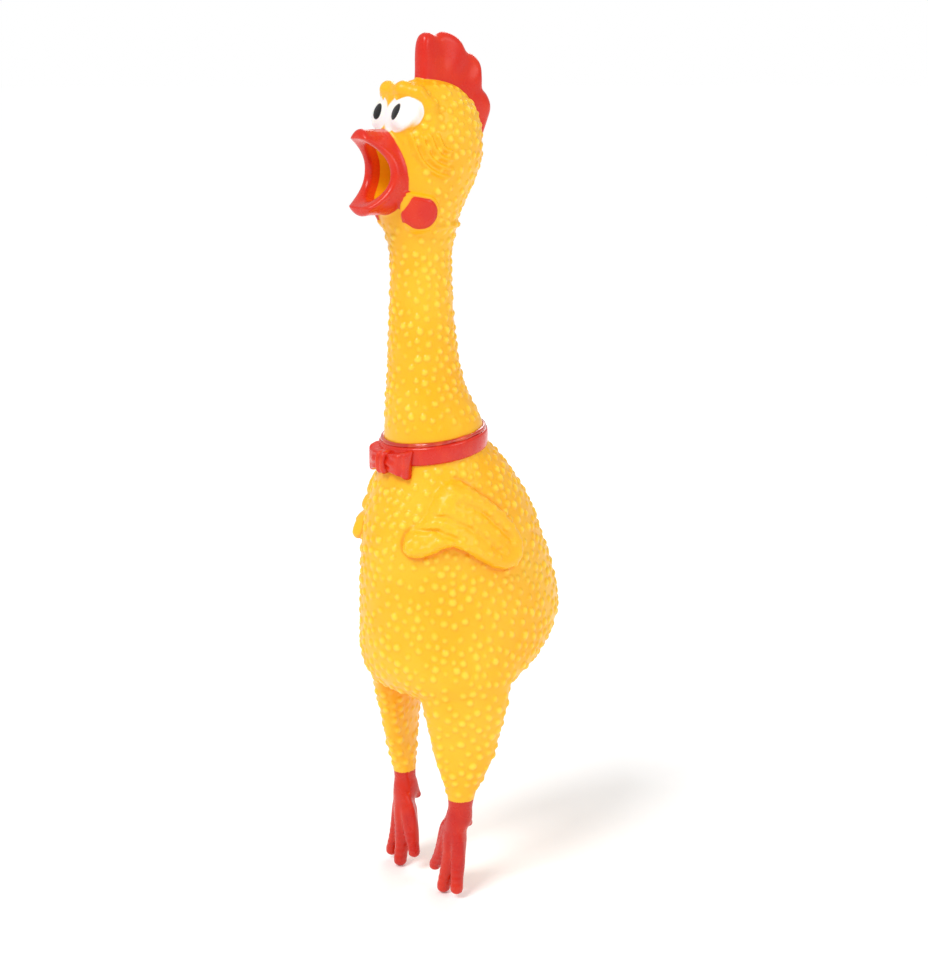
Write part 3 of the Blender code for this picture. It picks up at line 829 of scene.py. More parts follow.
@dataclass(frozen=True)
class PaintedTrim:
    """The glossy red of the collar and the bow, with a painted highlight on the bow's high edges."""

    name: str = "red_trim"
    red: Point = (0.66, 0.016, 0.004)
    # light is both the random lighter tone of the red and the colour of the painted highlight.
    light: Point = (0.84, 0.065, 0.007)
    gloss: float = 0.24

    def material(self) -> bpy.types.Material:
        """Builds the material.

        Returns:
            The material.
        """
        g = Graph(bpy.data.materials.new(self.name))
        relief = g.mark("relief")
        # Painted highlight: the bow's high edges are painted a lighter red.
        colour = g.mix(relief.step(0.2, 1.0, 0.0, 0.45), self.red, self.light)
        colour = g.mix(g.noise(5.0).step(0.4, 0.7, 0.0, 0.3), colour, self.light)
        rough = g.noise(2.4).step(0.3, 0.7, self.gloss - 0.05, self.gloss + 0.08)
        grain = g.noise(1.2, 4.0) * 0.7 + g.noise(4.0, 2.0)
        bump = g.node("ShaderNodeBump", {}, {"Strength": 0.4, "Distance": 0.00014, "Height": grain})
        g.feed(Base_Color=colour, Roughness=rough, Normal=bump, Specular_IOR_Level=0.4, Coat_Weight=0.26)
        g.feed(Coat_Roughness=0.12, Subsurface_Weight=0.06, Subsurface_Scale=0.002)
        return g.owner


@dataclass(frozen=True)
class SetGlue:
    """The glossy bead of set glue over the collar's edge."""

    name: str = "set_glue"
    tint: Point = (0.50, 0.018, 0.008)
    amber: Point = (0.78, 0.10, 0.012)

    def material(self) -> bpy.types.Material:
        """Builds the material.

        Returns:
            The material.
        """
        g = Graph(bpy.data.materials.new(self.name))
        colour = g.mix(g.noise(5.0).step(0.4, 0.7, 0.0, 0.7), self.tint, self.amber)
        rough = g.noise(1.5).step(0.3, 0.7, 0.06, 0.18)
        bump = g.node("ShaderNodeBump", {}, {"Strength": 0.3, "Distance": 0.0001, "Height": g.noise(0.8)})
        g.feed(Base_Color=colour, Roughness=rough, Normal=bump, Coat_Weight=0.6, Coat_Roughness=0.05)
        return g.owner


@dataclass(frozen=True)
class MouldedPlastic:
    """The squawker's plain plastic."""

    name: str
    tint: Point
    gloss: float = 0.42

    def material(self) -> bpy.types.Material:
        """Builds the material.

        Returns:
            The material.
        """
        g = Graph(bpy.data.materials.new(self.name))
        place = g.node("ShaderNodeTexCoord", output="Object")
        fine = g.node("ShaderNodeTexNoise", {}, {"Vector": place, "Scale": 900.0})
        shade = tuple(v * 0.86 for v in self.tint)
        g.feed(Base_Color=g.mix(fine.step(0.3, 0.7), self.tint, shade))
        g.feed(Roughness=fine.step(0.3, 0.7, self.gloss - 0.05, self.gloss + 0.08))
        return g.owner


# ---------------------------------------------------------------- the body moulding
@dataclass
class Wing:
    """A wing held against the flank in relief, as a map of heights over the torso's side."""

    outline: Outline = (
        (-61, 136), (-60, 133), (-56, 131), (-50, 130.6), (-42, 131.8), (-34, 134.0), (-28, 134.8),
        (-21, 132.6), (-13, 128.8), (-6, 125.6), (1, 124.2), (8, 124.6), (14, 126.8), (18, 130.4),
        (19, 134.6), (16, 139.5), (11, 144), (5, 148), (-2, 151.8), (-9, 155), (-15, 157.4),
        (-22, 158.4), (-30, 157.6), (-37, 154), (-42, 149.2), (-46, 145.8), (-53, 143), (-59, 139.6))
    grooves: Rows = (
        (-62, 142.0, -36, 141.4, 0.40), (-36, 141.4, -25, 138.0, 0.30), (-48, 147.6, -30, 146.6, 0.26),
        (-30, 146.6, -14, 140.0, 0.24), (-14, 140.0, -2, 132.0, 0.20), (-20, 150.5, -6, 146.0, 0.20),
        (-6, 146.0, 8, 135.0, 0.24))
    lower: int = 14
    crest: int = 20
    rear_lip: float = 1.8
    scale: float = 0.52
    height: float = 4.5
    lip: float = 2.0
    fade: float = 4.2
    groove_half: float = 1.1
    cell: float = 0.25
    margin: float = 2.0

    def __post_init__(self) -> None:
        """Draws the map of heights."""
        points = tuple((u * self.scale, v) for u, v in self.outline)
        self.low = [min(p[i] for p in points) - self.margin for i in (0, 1)]
        size = [max(p[i] for p in points) + self.margin - self.low[i] for i in (0, 1)]
        u = self.low[0] + np.arange(int(size[0] / self.cell) + 2) * self.cell
        v = self.low[1] + np.arange(int(size[1] / self.cell) + 2) * self.cell
        u, v = np.meshgrid(u, v, indexing="ij")
        inside = inside_outline(u, v, points)
        edge = polyline_distance(u, v, points[: self.lower + 1])
        rear = polyline_distance(u, v, points[self.lower: self.crest + 1])
        front = polyline_distance(u, v, points[self.crest:] + points[:1])
        rise = self._rounded(edge, self.lip) * self._rounded(rear, self.rear_lip)
        rise = rise * smooth_step(front, 0.0, self.fade) ** 0.55
        groove_depth = np.zeros(np.shape(u))
        for turn, height, turn_end, height_end, deep in self.grooves:
            ends = ((turn * self.scale, height), (turn_end * self.scale, height_end))
            groove = polyline_distance(u, v, ends) / self.groove_half
            groove_depth = np.maximum(groove_depth, deep * np.exp(-(groove**2)))
        folds = 1.0 - 0.02 * np.abs(u + 12.0) - groove_depth
        roll = 0.8 * np.exp(-(((np.minimum(edge, rear) - 3.0) / 1.8) ** 2))
        self.map = np.where(inside, rise * (self.height * folds + roll), 0.0)
        nearest = np.minimum(np.minimum(edge, rear), front)
        self.flat = np.where(inside, -nearest, nearest)

    @staticmethod
    def _rounded(away: Array, width: float) -> Array:
        """A rise with a quarter-round edge."""
        share = np.clip(away / width, 0.0, 1.0)
        return np.sqrt(1.0 - (1.0 - share) ** 2)

    def _sample(self, grid: Array, turn: Array, z: Array, outside: float) -> Array:
        """Reads a map between its cells.

        Args:
            grid: The map.
            turn: Degrees back from the toy's side.
            z: Heights.
            outside: The value off the map.

        Returns:
            The map's values.
        """
        a = (turn * self.scale - self.low[0]) / self.cell
        b = (z - self.low[1]) / self.cell
        off = (a < 0) | (b < 0) | (a > grid.shape[0] - 2) | (b > grid.shape[1] - 2)
        a, b = np.clip(a, 0, grid.shape[0] - 2.001), np.clip(b, 0, grid.shape[1] - 2.001)
        i, j = a.astype(int), b.astype(int)
        s, t = a - i, b - j
        value = grid[i, j] * (1 - s) * (1 - t) + grid[i + 1, j] * s * (1 - t)
        value = value + grid[i, j + 1] * (1 - s) * t + grid[i + 1, j + 1] * s * t
        return np.where(off, outside, value)

    def rise(self, turn: Array, z: Array) -> Array:
        """How far the wing stands out of the torso."""
        return self._sample(self.map, turn, z, 0.0)

    def edge(self, turn: Array, z: Array) -> Array:
        """Distance from the wing's outline, negative inside."""
        return self._sample(self.flat, turn, z, 5.0)


@dataclass
class Legs:
    """Both legs: ovals turned to follow the flanks, thinning to the ankles."""

    loft: Loft = Loft((
        (88.0, 20.0, 8.8, 16.6), (84.0, 20.2, 8.6, 16.4), (75.0, 20.8, 8.0, 15.6), (68.0, 20.9, 6.9, 14.0),
        (61.0, 20.6, 5.6, 12.3), (55.0, 20.4, 4.9, 11.0), (48.0, 19.8, 4.6, 8.6), (43.4, 19.1, 4.4, 6.8),
        (40.0, 18.6, 4.2, 5.4), (36.0, 18.2, 4.1, 4.7), (30.0, 17.6, 3.9, 4.2)))
    turn: float = math.radians(30.0)
    y: float = -1.0

    def distance(self, x: Array, y: Array, z: Array) -> Array:
        """Distance in a level plane to the nearer leg.

        Args:
            x: Across.
            y: Back.
            z: Up.

        Returns:
            Signed distances.
        """
        centre, short, long = self.loft.sizes(z)
        dx, dy = np.abs(x) - centre, y - self.y
        across = dx * math.cos(self.turn) - dy * math.sin(self.turn)
        along = dx * math.sin(self.turn) + dy * math.cos(self.turn)
        return oval_distance(across, along, short, long)


@dataclass
class BodyMoulding:
    """The torso with its wings, its tail and both legs down to the ankles."""

    torso: Loft = Loft((
        (172.0, 17.9, -17.9, 17.9), (170.5, 18.0, -18.0, 18.0), (164.0, 18.6, -18.8, 20.4),
        (158.5, 20.6, -20.4, 25.0), (150.0, 23.6, -23.0, 31.0), (142.0, 25.4, -25.2, 36.8),
        (135.0, 26.8, -26.4, 41.4), (126.0, 28.0, -27.0, 45.6), (117.0, 28.9, -27.2, 48.8),
        (109.0, 30.0, -27.2, 50.4), (101.0, 30.8, -27.0, 50.6), (95.0, 31.3, -26.7, 47.6),
        (90.0, 31.5, -26.0, 43.4), (85.0, 31.0, -24.6, 37.4), (81.0, 29.2, -22.2, 31.0),
        (78.0, 26.0, -18.8, 24.6), (75.4, 20.0, -13.4, 17.0), (73.8, 12.0, -7.0, 9.6),
        (72.7, 6.0, -3.0, 5.0)))
    legs: Legs = field(default_factory=Legs)
    wing: Wing = field(default_factory=Wing)
    pimples: Pimples = Pimples()
    top: float = 170.0
    bottom: float = 72.9
    leg_top: float = 86.0
    bow_half: float = 13.5
    bow_low: float = 157.5
    ankle: float = 36.8
    hip_cut: float = 73.4
    shin_cut: float = 48.0
    hip_x: float = 20.9
    hip_bend: Pair = (72.2, 60.0)
    ankle_bend: Pair = (44.2, 37.8)
    box: tuple[Point, Point] = ((-36.0, -34.0, 35.5), (36.0, 58.0, 175.0))
    step: float = 0.5
    seed: int = 11
    tail: tuple[Point, Point] = ((0.0, 47.0, 98.6), (8.6, 7.2, 6.0))
    tail_tip: Bar = ((0.0, 49.0, 100.0), (0.0, 54.0, 97.6), 3.4, 1.5)
    crease_half: float = 0.85
    crease_arch: float = 4.2
    tail_creases: Rows = ((106.0, 7.0, 0.9), (102.0, 8.4, 0.7), (92.6, 8.6, 0.8))

    def side_turn(self, x: Array, y: Array, sizes: list[Array]) -> Array:
        """How far back round the torso a point is, from either flank."""
        half, front, back = sizes
        return np.degrees(np.arctan2((y - (front + back) / 2) / ((back - front) / 2), np.abs(x) / half))

    def distance(self, x: Array, y: Array, z: Array) -> Array:
        """The moulding's field.

        Args:
            x: Across.
            y: Back.
            z: Up.

        Returns:
            Signed distances.
        """
        level = TILT.level(y, z)
        sizes = self.torso.sizes(level)
        half, front, back = sizes
        trunk = oval_distance(x, y - (front + back) / 2, half, (back - front) / 2)
        trunk = blend_max(trunk, self.bottom - z, 2.0)
        trunk = blend_max(trunk, level - self.top, 1.0)
        trunk = trunk - self.wing.rise(self.side_turn(x, y, sizes), level)
        trunk = blend_min(trunk, ellipsoid(x, y, z, *self.tail), 3.0)
        trunk = blend_min(trunk, limb(x, y, z, *self.tail_tip), 2.6)
        behind = smooth_step(y, 38.0, 43.0)
        for height, spread, deep in self.tail_creases:
            arch = z - height + self.crease_arch * (x / spread) ** 2
            crease = np.exp(-((arch / self.crease_half) ** 2))
            crease = crease * smooth_step(np.abs(x), spread, spread * 0.7)
            trunk = trunk + deep * crease * behind
        leg = blend_max(self.legs.distance(x, y, z), z - self.leg_top, 6.0)
        joined = blend_min(trunk, leg, 4.5)
        return np.maximum(joined, self.ankle - z)

    def build(self, vinyl: bpy.types.Material) -> None:
        """Skins the moulding and parts it into pieces.

        Args:
            vinyl: Its finish.
        """
        skin = Skin.of_field(self.distance, *self.box, self.step)
        x, y, z = skin.points.T
        level = TILT.level(y, z)
        turn = self.side_turn(x, y, self.torso.sizes(level))
        edge = self.wing.edge(turn, level)
        room = smooth_step(z, self.ankle + 1.0, self.ankle + 4.0) * smooth_step(level, 164.0, 161.5)
        room *= np.where(np.abs(edge) < 0.9, 0.45, np.where(edge < 0.0, 0.6, 1.0))
        bow = (np.abs(x) < self.bow_half) & (y < 0) & (level > self.bow_low)
        room = np.where(bow, 0.0, room)
        # Painted shade: a deeper orange along the wing's lower edge, where shade falls under it.
        low_edge = np.exp(-(((edge - 0.5) / 0.9) ** 2)) * smooth_step(self.wing.rise(turn, level), 1.8, 0.2)
        low_edge *= np.where(turn > -19.0, 0.75, smooth_step(level, 146.0, 140.0))
        skin.raise_pimples(self.pimples, room, self.seed)
        # Painted shade between the legs.
        crotch = np.exp(-(((np.abs(x) - 12.0) / 5.0) ** 2) - ((z - 74.0) / 5.0) ** 2)
        skin.mark(painted_shade=np.clip(low_edge * 0.9 + crotch * 0.5, 0, 1), red=UNPAINTED, white=UNPAINTED)
        skin.mark(black=UNPAINTED, inner=0.0)
        fx, _, fz = skin.middles()
        winged = skin.face_mark(edge) < 0.0
        shin = fz < self.shin_cut
        thigh = (fz < self.hip_cut) & ~shin & (np.abs(fx) > 8.0)
        trunk = ~(shin | thigh | winged)
        ride(skin.piece("torso_skin", trunk, vinyl), Body.TORSO, Slot.YELLOW, "torso_shell")
        for side in Side:
            mine = fx * side.value > 0
            name = f"wing_{side.word}"
            wing = skin.piece(f"{name}_skin", winged & mine & ~(shin | thigh), vinyl)
            ride(wing, Body.TORSO, Slot.YELLOW, name)
            self._leg_pieces(skin, side, thigh & mine, shin & mine, vinyl)

    def _leg_pieces(self, skin: Skin, side: Side, thigh: Array, shin: Array,
                    vinyl: bpy.types.Material) -> None:
        """Makes one leg's thigh and shin pieces.

        Args:
            skin: The moulding's skin.
            side: Which leg.
            thigh: True for each face above the shin's top.
            shin: True for each face of the shin.
            vinyl: Its finish.
        """
        leg = Body[f"{side.name}_LEG"]
        foot = Body[f"{side.name}_FOOT"]
        x = side.value * self.hip_x
        hip = Bend(Body.TORSO, leg, x, self.legs.y, *self.hip_bend)
        upper = skin.piece(f"thigh_{side.word}_skin", thigh, vinyl)
        hip.join(upper, Slot.YELLOW, f"hip_fold_{side.word}", f"leg_{side.word}")
        ankle = Bend(leg, foot, x, self.legs.y, *self.ankle_bend)
        lower = skin.piece(f"shin_{side.word}_skin", shin, vinyl)
        ankle.join(lower, Slot.YELLOW, f"ankle_fold_{side.word}")


@dataclass
class Foot:
    """A red foot: a flat palm, three toes that fan downward, and a spur behind."""

    legs: Legs = field(default_factory=Legs)
    top: float = 38.2
    box: tuple[Point, Point] = ((2.0, -10.5, -1.0), (25.0, 8.0, 39.0))
    step: float = 0.34
    palm: tuple[Point, Point] = ((15.2, -3.4, 18.2), (7.4, 2.4, 10.8))
    instep: Bar = ((17.6, -1.2, 30.0), (16.2, -2.2, 20.0), 3.9, 3.4)
    spur: Bar = ((17.0, 0.8, 31.0), (16.7, 3.6, 26.0), 2.3, 1.5)
    toes: tuple[Bar, ...] = (
        ((18.0, -2.4, 21.0), (21.3, -5.1, 4.0), 2.7, 2.35),
        ((15.5, -2.6, 21.0), (14.3, -6.0, 2.55), 2.7, 2.5),
        ((13.6, -2.4, 22.0), (6.9, -4.6, 8.0), 2.5, 2.2))
    knuckle_height: float = 0.06
    knuckle_pitch: float = 2.4
    valley_half: float = 1.1
    web_valleys: Rows = ((18.3, 0.02, 0.55), (12.4, 0.16, 0.55))

    def distance(self, x: Array, y: Array, z: Array) -> Array:
        """The left foot's field.

        Args:
            x: Across.
            y: Back.
            z: Up.

        Returns:
            Signed distances.
        """
        shank = blend_max(self.legs.distance(x, y, z) + 0.06, 27.0 - z, 3.0)
        foot = blend_min(shank, limb(x, y, z, *self.instep), 2.5)
        foot = blend_min(foot, ellipsoid(x, y, z, *self.palm), 3.0)
        for bar in self.toes:
            toe = limb(x, y, z, *bar)
            knuckle = self.knuckle_height * np.cos((z - bar[1][2]) * math.tau / self.knuckle_pitch)
            knuckle = knuckle * smooth_step(y, -3.2, -5.0)
            foot = blend_min(foot, toe + knuckle * smooth_step(z, 19.0, 15.0), 2.8)
        foot = blend_min(foot, limb(x, y, z, *self.spur), 1.6)
        for middle, spread, deep in self.web_valleys:
            valley = x - middle - spread * (z - 12.0)
            foot = foot + deep * np.exp(-((valley / self.valley_half) ** 2)) * smooth_step(z, 26.0, 18.0)
        return np.maximum(foot, z - self.top)

    def build(self, vinyl: bpy.types.Material) -> None:
        """Skins the left foot and makes both.

        Args:
            vinyl: Their finish.
        """
        skin = Skin.of_field(self.distance, *self.box, self.step)
        toes = smooth_step(skin.points[:, 2], 14.0, 4.0) * 0.6
        skin.mark(relief=0.0, painted_shade=0.0, red=-5.0, white=UNPAINTED, black=UNPAINTED, inner=toes * 0.3)
        everything = np.ones(len(skin.faces), bool)
        for side in Side:
            if side is Side.RIGHT:
                skin.points = skin.points * (-1.0, 1.0, 1.0)
                skin.normals = skin.normals * (-1.0, 1.0, 1.0)
                skin.faces = skin.faces[:, ::-1]
            name = f"foot_{side.word}"
            foot = skin.piece(f"{name}_skin", everything, vinyl)
            ride(foot, Body[f"{side.name}_FOOT"], Slot.RED, name)


# ---------------------------------------------------------------- the head-and-neck moulding
@dataclass
class HeadMoulding:
    """The neck and the head, with the beak, the eyes, the brow, the comb and the wattles on it."""

    neck: Loft = Loft((
        (169.5, 17.9, -17.7, 17.9), (172.0, 17.7, -17.5, 17.6), (177.0, 16.6, -17.3, 15.4),
        (184.0, 14.9, -17.2, 12.0), (192.0, 13.4, -16.6, 9.4), (205.0, 12.1, -16.2, 7.0),
        (216.0, 11.3, -15.8, 6.1), (227.0, 10.5, -15.6, 5.8), (236.0, 10.2, -16.3, 6.2),
        (240.0, 10.6, -17.4, 7.4), (247.0, 12.2, -19.6, 8.8), (254.0, 13.5, -20.3, 12.2),
        (261.0, 14.8, -20.6, 15.8), (268.0, 15.5, -20.4, 18.2), (275.0, 15.3, -20.2, 18.2),
        (282.0, 13.6, -18.9, 17.0), (288.0, 11.2, -16.6, 12.8), (291.6, 8.2, -13.0, 7.6),
        (293.6, 3.6, -8.5, 2.0)))
    pimples: Pimples = Pimples(spacing=3.0, radius=(1.05, 1.5), height=(0.5, 0.76))
    low: float = 170.8
    crown: float = 293.8
    step: float = 0.42
    box: tuple[Point, Point] = ((-20.0, -36.0, 168.0), (20.0, 27.0, 313.0))
    seed: int = 23
    neck_cut: float = 206.0
    head_cut: float = 240.0
    high_bend: Bend = Bend(Body.NECK, Body.HEAD, 0.0, -5.0, 212.5, 231.5)
    low_bend: Bend = Bend(Body.TORSO, Body.NECK, 0.0, -3.6, 180.5, 199.5)
    mouth: Point = (0.0, 0.0, 262.8)
    lip_half: float = 9.6
    lip_tall: float = 14.4
    lip_wall: float = 3.2
    lip_ends: float = 4.4
    lip_y: float = -22.4
    lip_curve: float = 8.6
    lip_corner: float = 11.4
    lip_flare: float = 0.5
    mouth_back: float = 9.0
    mouth_taper: float = 0.14
    ring_z: float = 243.9
    ring_half: float = 1.15
    cheek: Pair = (-2.4, 275.4)
    wrinkle_height: float = 1.2
    wrinkle_pitch: float = 2.7
    wrinkle_start: float = 5.2
    eye: Point = (5.9, -14.3, 282.4)
    eye_size: Point = (6.1, 5.0, 6.4)
    eye_lean: float = 0.34
    white_centre: Pair = (5.9, 282.2)
    white_half: Pair = (6.7, 6.0)
    pupil_centre: Pair = (5.5, 283.0)
    pupil_half: Pair = (2.15, 2.7)
    gaze_lean: float = 0.12
    brow: tuple[Bar, ...] = (
        ((0.0, -15.0, 289.4), (4.5, -14.8, 290.2), 2.5, 2.7),
        ((4.5, -14.8, 290.2), (9.2, -12.0, 289.0), 2.7, 2.4),
        ((9.2, -12.0, 289.0), (12.0, -9.0, 284.6), 2.4, 1.9),
        ((12.0, -9.0, 284.6), (12.9, -8.0, 279.6), 1.9, 1.2))
    wattle_bar: Bar = ((0.0, -13.0, 249.2), (0.0, -19.6, 252.2), 6.2, 4.5)
    comb_centre: Pair = (3.0, 279.0)
    comb_half: float = 3.5
    comb_edge: Loft = Loft((
        (-20.0, 18.2), (-8.0, 19.4), (2.0, 20.8), (14.0, 22.0), (26.0, 22.0), (34.0, 21.4),
        (42.0, 23.2), (52.0, 26.6), (59.0, 27.2), (66.0, 26.8), (74.0, 29.2), (82.0, 30.6),
        (88.0, 30.7), (93.0, 29.8), (99.0, 30.8), (105.0, 30.2), (112.0, 26.0), (130.0, 20.0)), fine=1.0)

    def lip_front(self, z: Array) -> Array:
        """How far forward the lip reaches at each height."""
        share = np.clip(np.abs(z - self.mouth[2]) / self.lip_corner, 0.0, 1.0)
        return self.lip_y - self.lip_curve * share**2.2

    def lip_oval(self, x: Array, z: Array, inset: float) -> Array:
        """Distance from the beak's outline as seen from in front.

        Args:
            x: Across.
            z: Up.
            inset: How far inside the outline to measure from.

        Returns:
            Signed distances, negative inside.
        """
        up = z - self.mouth[2]
        half = (self.lip_half - inset) * (1.0 - 0.012 * up)
        tall = self.lip_tall - inset * self.lip_ends / self.lip_wall
        return oval_distance(x, up, half, np.full(np.shape(up), tall))

    def wattle(self, y: Array, z: Array) -> Array:
        """Distance from a wattle's teardrop outline as seen from the side."""
        return limb(np.zeros(np.shape(y)), y, z, *self.wattle_bar)

    def comb(self, x: Array, y: Array, z: Array) -> Array:
        """The comb's field: a thick fin whose edge is given by the angle round its root.

        Args:
            x: Across.
            y: Back.
            z: Up.

        Returns:
            Signed distances.
        """
        dy, dz = y - self.comb_centre[0], z - self.comb_centre[1]
        angle = np.degrees(np.arctan2(dz, dy))
        reach = np.hypot(dy, dz)
        edge = self.comb_edge.sizes(angle)[0]
        lobes = 0.35 * np.cos((angle - 30.0) * math.tau / 30.0) * smooth_step(reach, 15.0, 22.0)
        thick = self.comb_half - 0.06 * np.clip(reach - 15.0, 0.0, 14.0)
        thick = thick - smooth_step(angle, 30.0, -6.0) - lobes
        fin = blend_max(reach - edge, np.abs(x) - thick, 3.4)
        fin = blend_max(fin, -5.9 - y, 2.4)
        return blend_max(fin, -6.0 - angle * 0.35, 2.0)

    def head_only(self, x: Array, y: Array, z: Array) -> Array:
        """The neck and the round of the head.

        Args:
            x: Across.
            y: Back.
            z: Up.

        Returns:
            Signed distances.
        """
        level = TILT.level(y, z)
        half, front, back = self.neck.sizes(level)
        form = oval_distance(x, y - (front + back) / 2, half, (back - front) / 2)
        form = blend_max(form, z - self.crown, 2.5)
        return blend_max(form, self.low - level, 0.8)

    def distance(self, x: Array, y: Array, z: Array) -> Array:
        """The moulding's field.

        Args:
            x: Across.
            y: Back.
            z: Up.

        Returns:
            Signed distances.
        """
        side = np.abs(x)
        head = self.head_only(x, y, z)
        ring = z - self.ring_z - 0.05 * (y + 5.0)
        head = head - np.exp(-((ring / self.ring_half) ** 2)) * smooth_step(y, -14.0, -6.0)
        head = head - self._wrinkles(side, y, z)
        patch = self.wattle(y, z)
        raised = 2.0 * smooth_step(patch, 1.2, -0.8) - 0.45 * np.exp(-(((patch + 1.0) / 0.5) ** 2))
        head = head - raised * smooth_step(side, 6.0, 9.0)
        brow = limb(side, y, z, *self.brow[0])
        for bar in self.brow[1:]:
            brow = blend_min(brow, limb(side, y, z, *bar), 1.6)
        head = blend_min(head, brow, 2.6)
        head = blend_min(head, self.eyeball(side, y, z), 1.0)
        lip = self.lip_oval(x, z, 0.0)
        flare = self.lip_flare * smooth_step(y - self.lip_front(z), 4.5, 0.0)
        beak = blend_max(lip - flare, self.lip_front(z) - y, 2.8)
        beak = blend_max(beak, y + 8.0, 2.0)
        head = blend_min(head, beak, 1.3)
        head = blend_min(head, self.comb(x, y, z), 0.8)
        depth = np.clip((y - self.lip_front(z)) * self.mouth_taper, 0.0, 3.0)
        hole = blend_max(self.lip_oval(x, z, self.lip_wall) + depth, y + self.mouth_back, 4.0)
        return blend_max(head, -hole, 2.0)

    def eyeball(self, side: Array, y: Array, z: Array) -> Array:
        """Distance to an eyeball, which leans back to follow the face."""
        return ellipsoid(side, y - self.eye_lean * (z - self.eye[2]), z, self.eye, self.eye_size)

    def _wrinkles(self, side: Array, y: Array, z: Array) -> Array:
        """Height of the curved wrinkles behind each eye and over each cheek.

        Args:
            side: Distance from the middle, across.
            y: Back.
            z: Up.

        Returns:
            Heights.
        """
        dy, dz = y - self.cheek[0], z - self.cheek[1]
        away = np.hypot(dy, dz * 0.92)
        around = np.degrees(np.arctan2(-dz, -dy))
        phase = (away - self.wrinkle_start) * math.tau / self.wrinkle_pitch
        ripples = 0.5 + 0.5 * np.cos(phase + 0.3 * np.sin(around * 0.09))
        window = smooth_step(around, -12.0, 12.0) * smooth_step(around, 100.0, 74.0)
        window = window * smooth_step(away, 3.4, 5.0) * smooth_step(away, 15.4, 13.4)
        return self.wrinkle_height * ripples**1.3 * window * smooth_step(side, 5.0, 9.0)

    def build(self, vinyl: bpy.types.Material) -> None:
        """Skins the moulding, paints it and parts it into pieces.

        Args:
            vinyl: Its finish.
        """
        skin = Skin.of_field(self.distance, *self.box, self.step)
        x, y, z = skin.points.T
        side = np.abs(x)
        head = self.head_only(x, y, z)
        lip = self.lip_oval(x, z, 0.0)
        behind = y - self.lip_front(z)
        inside_mouth = (self.lip_oval(x, z, self.lip_wall - 1.2) < 0) & (y < -7.0)
        beak_red = np.maximum(lip - 0.9, 0.45 - head)
        beak_red = np.where(inside_mouth, behind - 4.6, np.maximum(beak_red, y + 12.0))
        beak_red = np.where(lip > 3.5, UNPAINTED, beak_red)
        comb_red = np.maximum(self.comb(x, y, z) - 0.35, 0.42 - head)
        comb_red = np.where((z > 270) & (y > -10), comb_red, UNPAINTED)
        wattle = self.wattle(y, z)
        wattle_red = np.maximum(np.maximum(wattle + 0.85, 2.5 - lip), 7.0 - side)
        wattle_red = np.where((side > 5) & (y < 2), wattle_red, UNPAINTED)
        red = np.minimum(np.minimum(beak_red, comb_red), wattle_red)
        front = (y < -8) & (z > 270)
        white_up = z - self.white_centre[1] - self.gaze_lean * (side - 5.0)
        white_side = side - self.white_centre[0]
        white = np.hypot(white_side / self.white_half[0], white_up / self.white_half[1]) - 1.0
        rim = 0.6 + 6.0 * smooth_step(side, 4.0, 2.0)
        white = np.maximum(white * 5.0, (self.eyeball(side, y, z) - rim) * 2.5)
        white = np.where(front, white, UNPAINTED)
        black_up = z - self.pupil_centre[1]
        black_side = side - self.pupil_centre[0] - self.gaze_lean * black_up
        black = np.hypot(black_side / self.pupil_half[0], black_up / self.pupil_half[1]) - 1.0
        black = np.where(front, black * 1.9, UNPAINTED)
        room = smooth_step(red, 0.9, 2.2) * smooth_step(white, 0.2, 1.8)
        room *= smooth_step(TILT.level(y, z), 174.0, 177.0) * np.where(inside_mouth & (lip < 2), 0.0, 1.0)
        room *= smooth_step(self._wrinkles(side, y, z), 0.25, 0.05) * np.where(head > 1.0, 0.0, 1.0)
        room *= smooth_step(wattle, 0.6, 1.8)
        # Painted light: the deep inside of the mouth is painted lighter the further in it goes.
        deep = smooth_step(behind, 5.0, 15.0) * inside_mouth
        skin.raise_pimples(self.pimples, room, self.seed)
        # Painted shade: a deeper orange along the rim of each wattle.
        painted_shade = 0.5 * np.exp(-((wattle_red / 0.5) ** 2))
        # The mouth's painted light rides on the relief mark, together with the pimples' painted highlight.
        skin.marks["relief"] = np.maximum(skin.marks["relief"], 0.7 * deep)
        skin.mark(red=red, white=white, black=black, painted_shade=np.clip(painted_shade, 0, 1))
        skin.mark(inner=smooth_step(behind, 0.6, 3.0) * inside_mouth)
        self._part(skin, vinyl, beak_red, comb_red, wattle_red, white)

    def _part(self, skin: Skin, vinyl: bpy.types.Material, beak: Array, comb: Array, wattle: Array,
              white: Array) -> None:
        """Parts the skin into pieces.

        Args:
            skin: The painted skin.
            vinyl: Its finish.
            beak: Distance to the beak's red, for each point.
            comb: Distance to the comb's red.
            wattle: Distance to the wattles' red.
            white: Distance to the eyes' white.
        """
        fx, _, fz = skin.middles()
        up = fz > self.head_cut
        is_beak = (skin.face_mark(beak) < 0) & up
        is_comb = (skin.face_mark(comb) < 0) & up & ~is_beak
        is_wattle = (skin.face_mark(wattle) < 0) & up & ~is_beak
        is_eye = (skin.face_mark(white) < 0.9) & up & ~(is_beak | is_comb)
        plain = up & ~(is_beak | is_comb | is_wattle | is_eye)
        pieces = [
            ("head_skin", plain, ("head_shell", "mouth_lining"), Slot.YELLOW),
            ("beak_skin", is_beak, ("beak",), Slot.RED),
            ("comb_skin", is_comb, ("comb",), Slot.RED),
        ]
        for side in Side:
            mine = fx * side.value > 0
            wattles = (f"wattle_{side.word}",)
            pieces.append((f"wattle_{side.word}_skin", is_wattle & mine, wattles, Slot.RED))
            eyes = (f"eye_{side.word}", f"pupil_{side.word}")
            pieces.append((f"eye_{side.word}_skin", is_eye & mine, eyes, Slot.WHITE))
        for name, chosen, nodes, slot in pieces:
            ride(skin.piece(name, chosen, vinyl), Body.HEAD, slot, *nodes)
        middle = ~up & (fz > self.neck_cut)
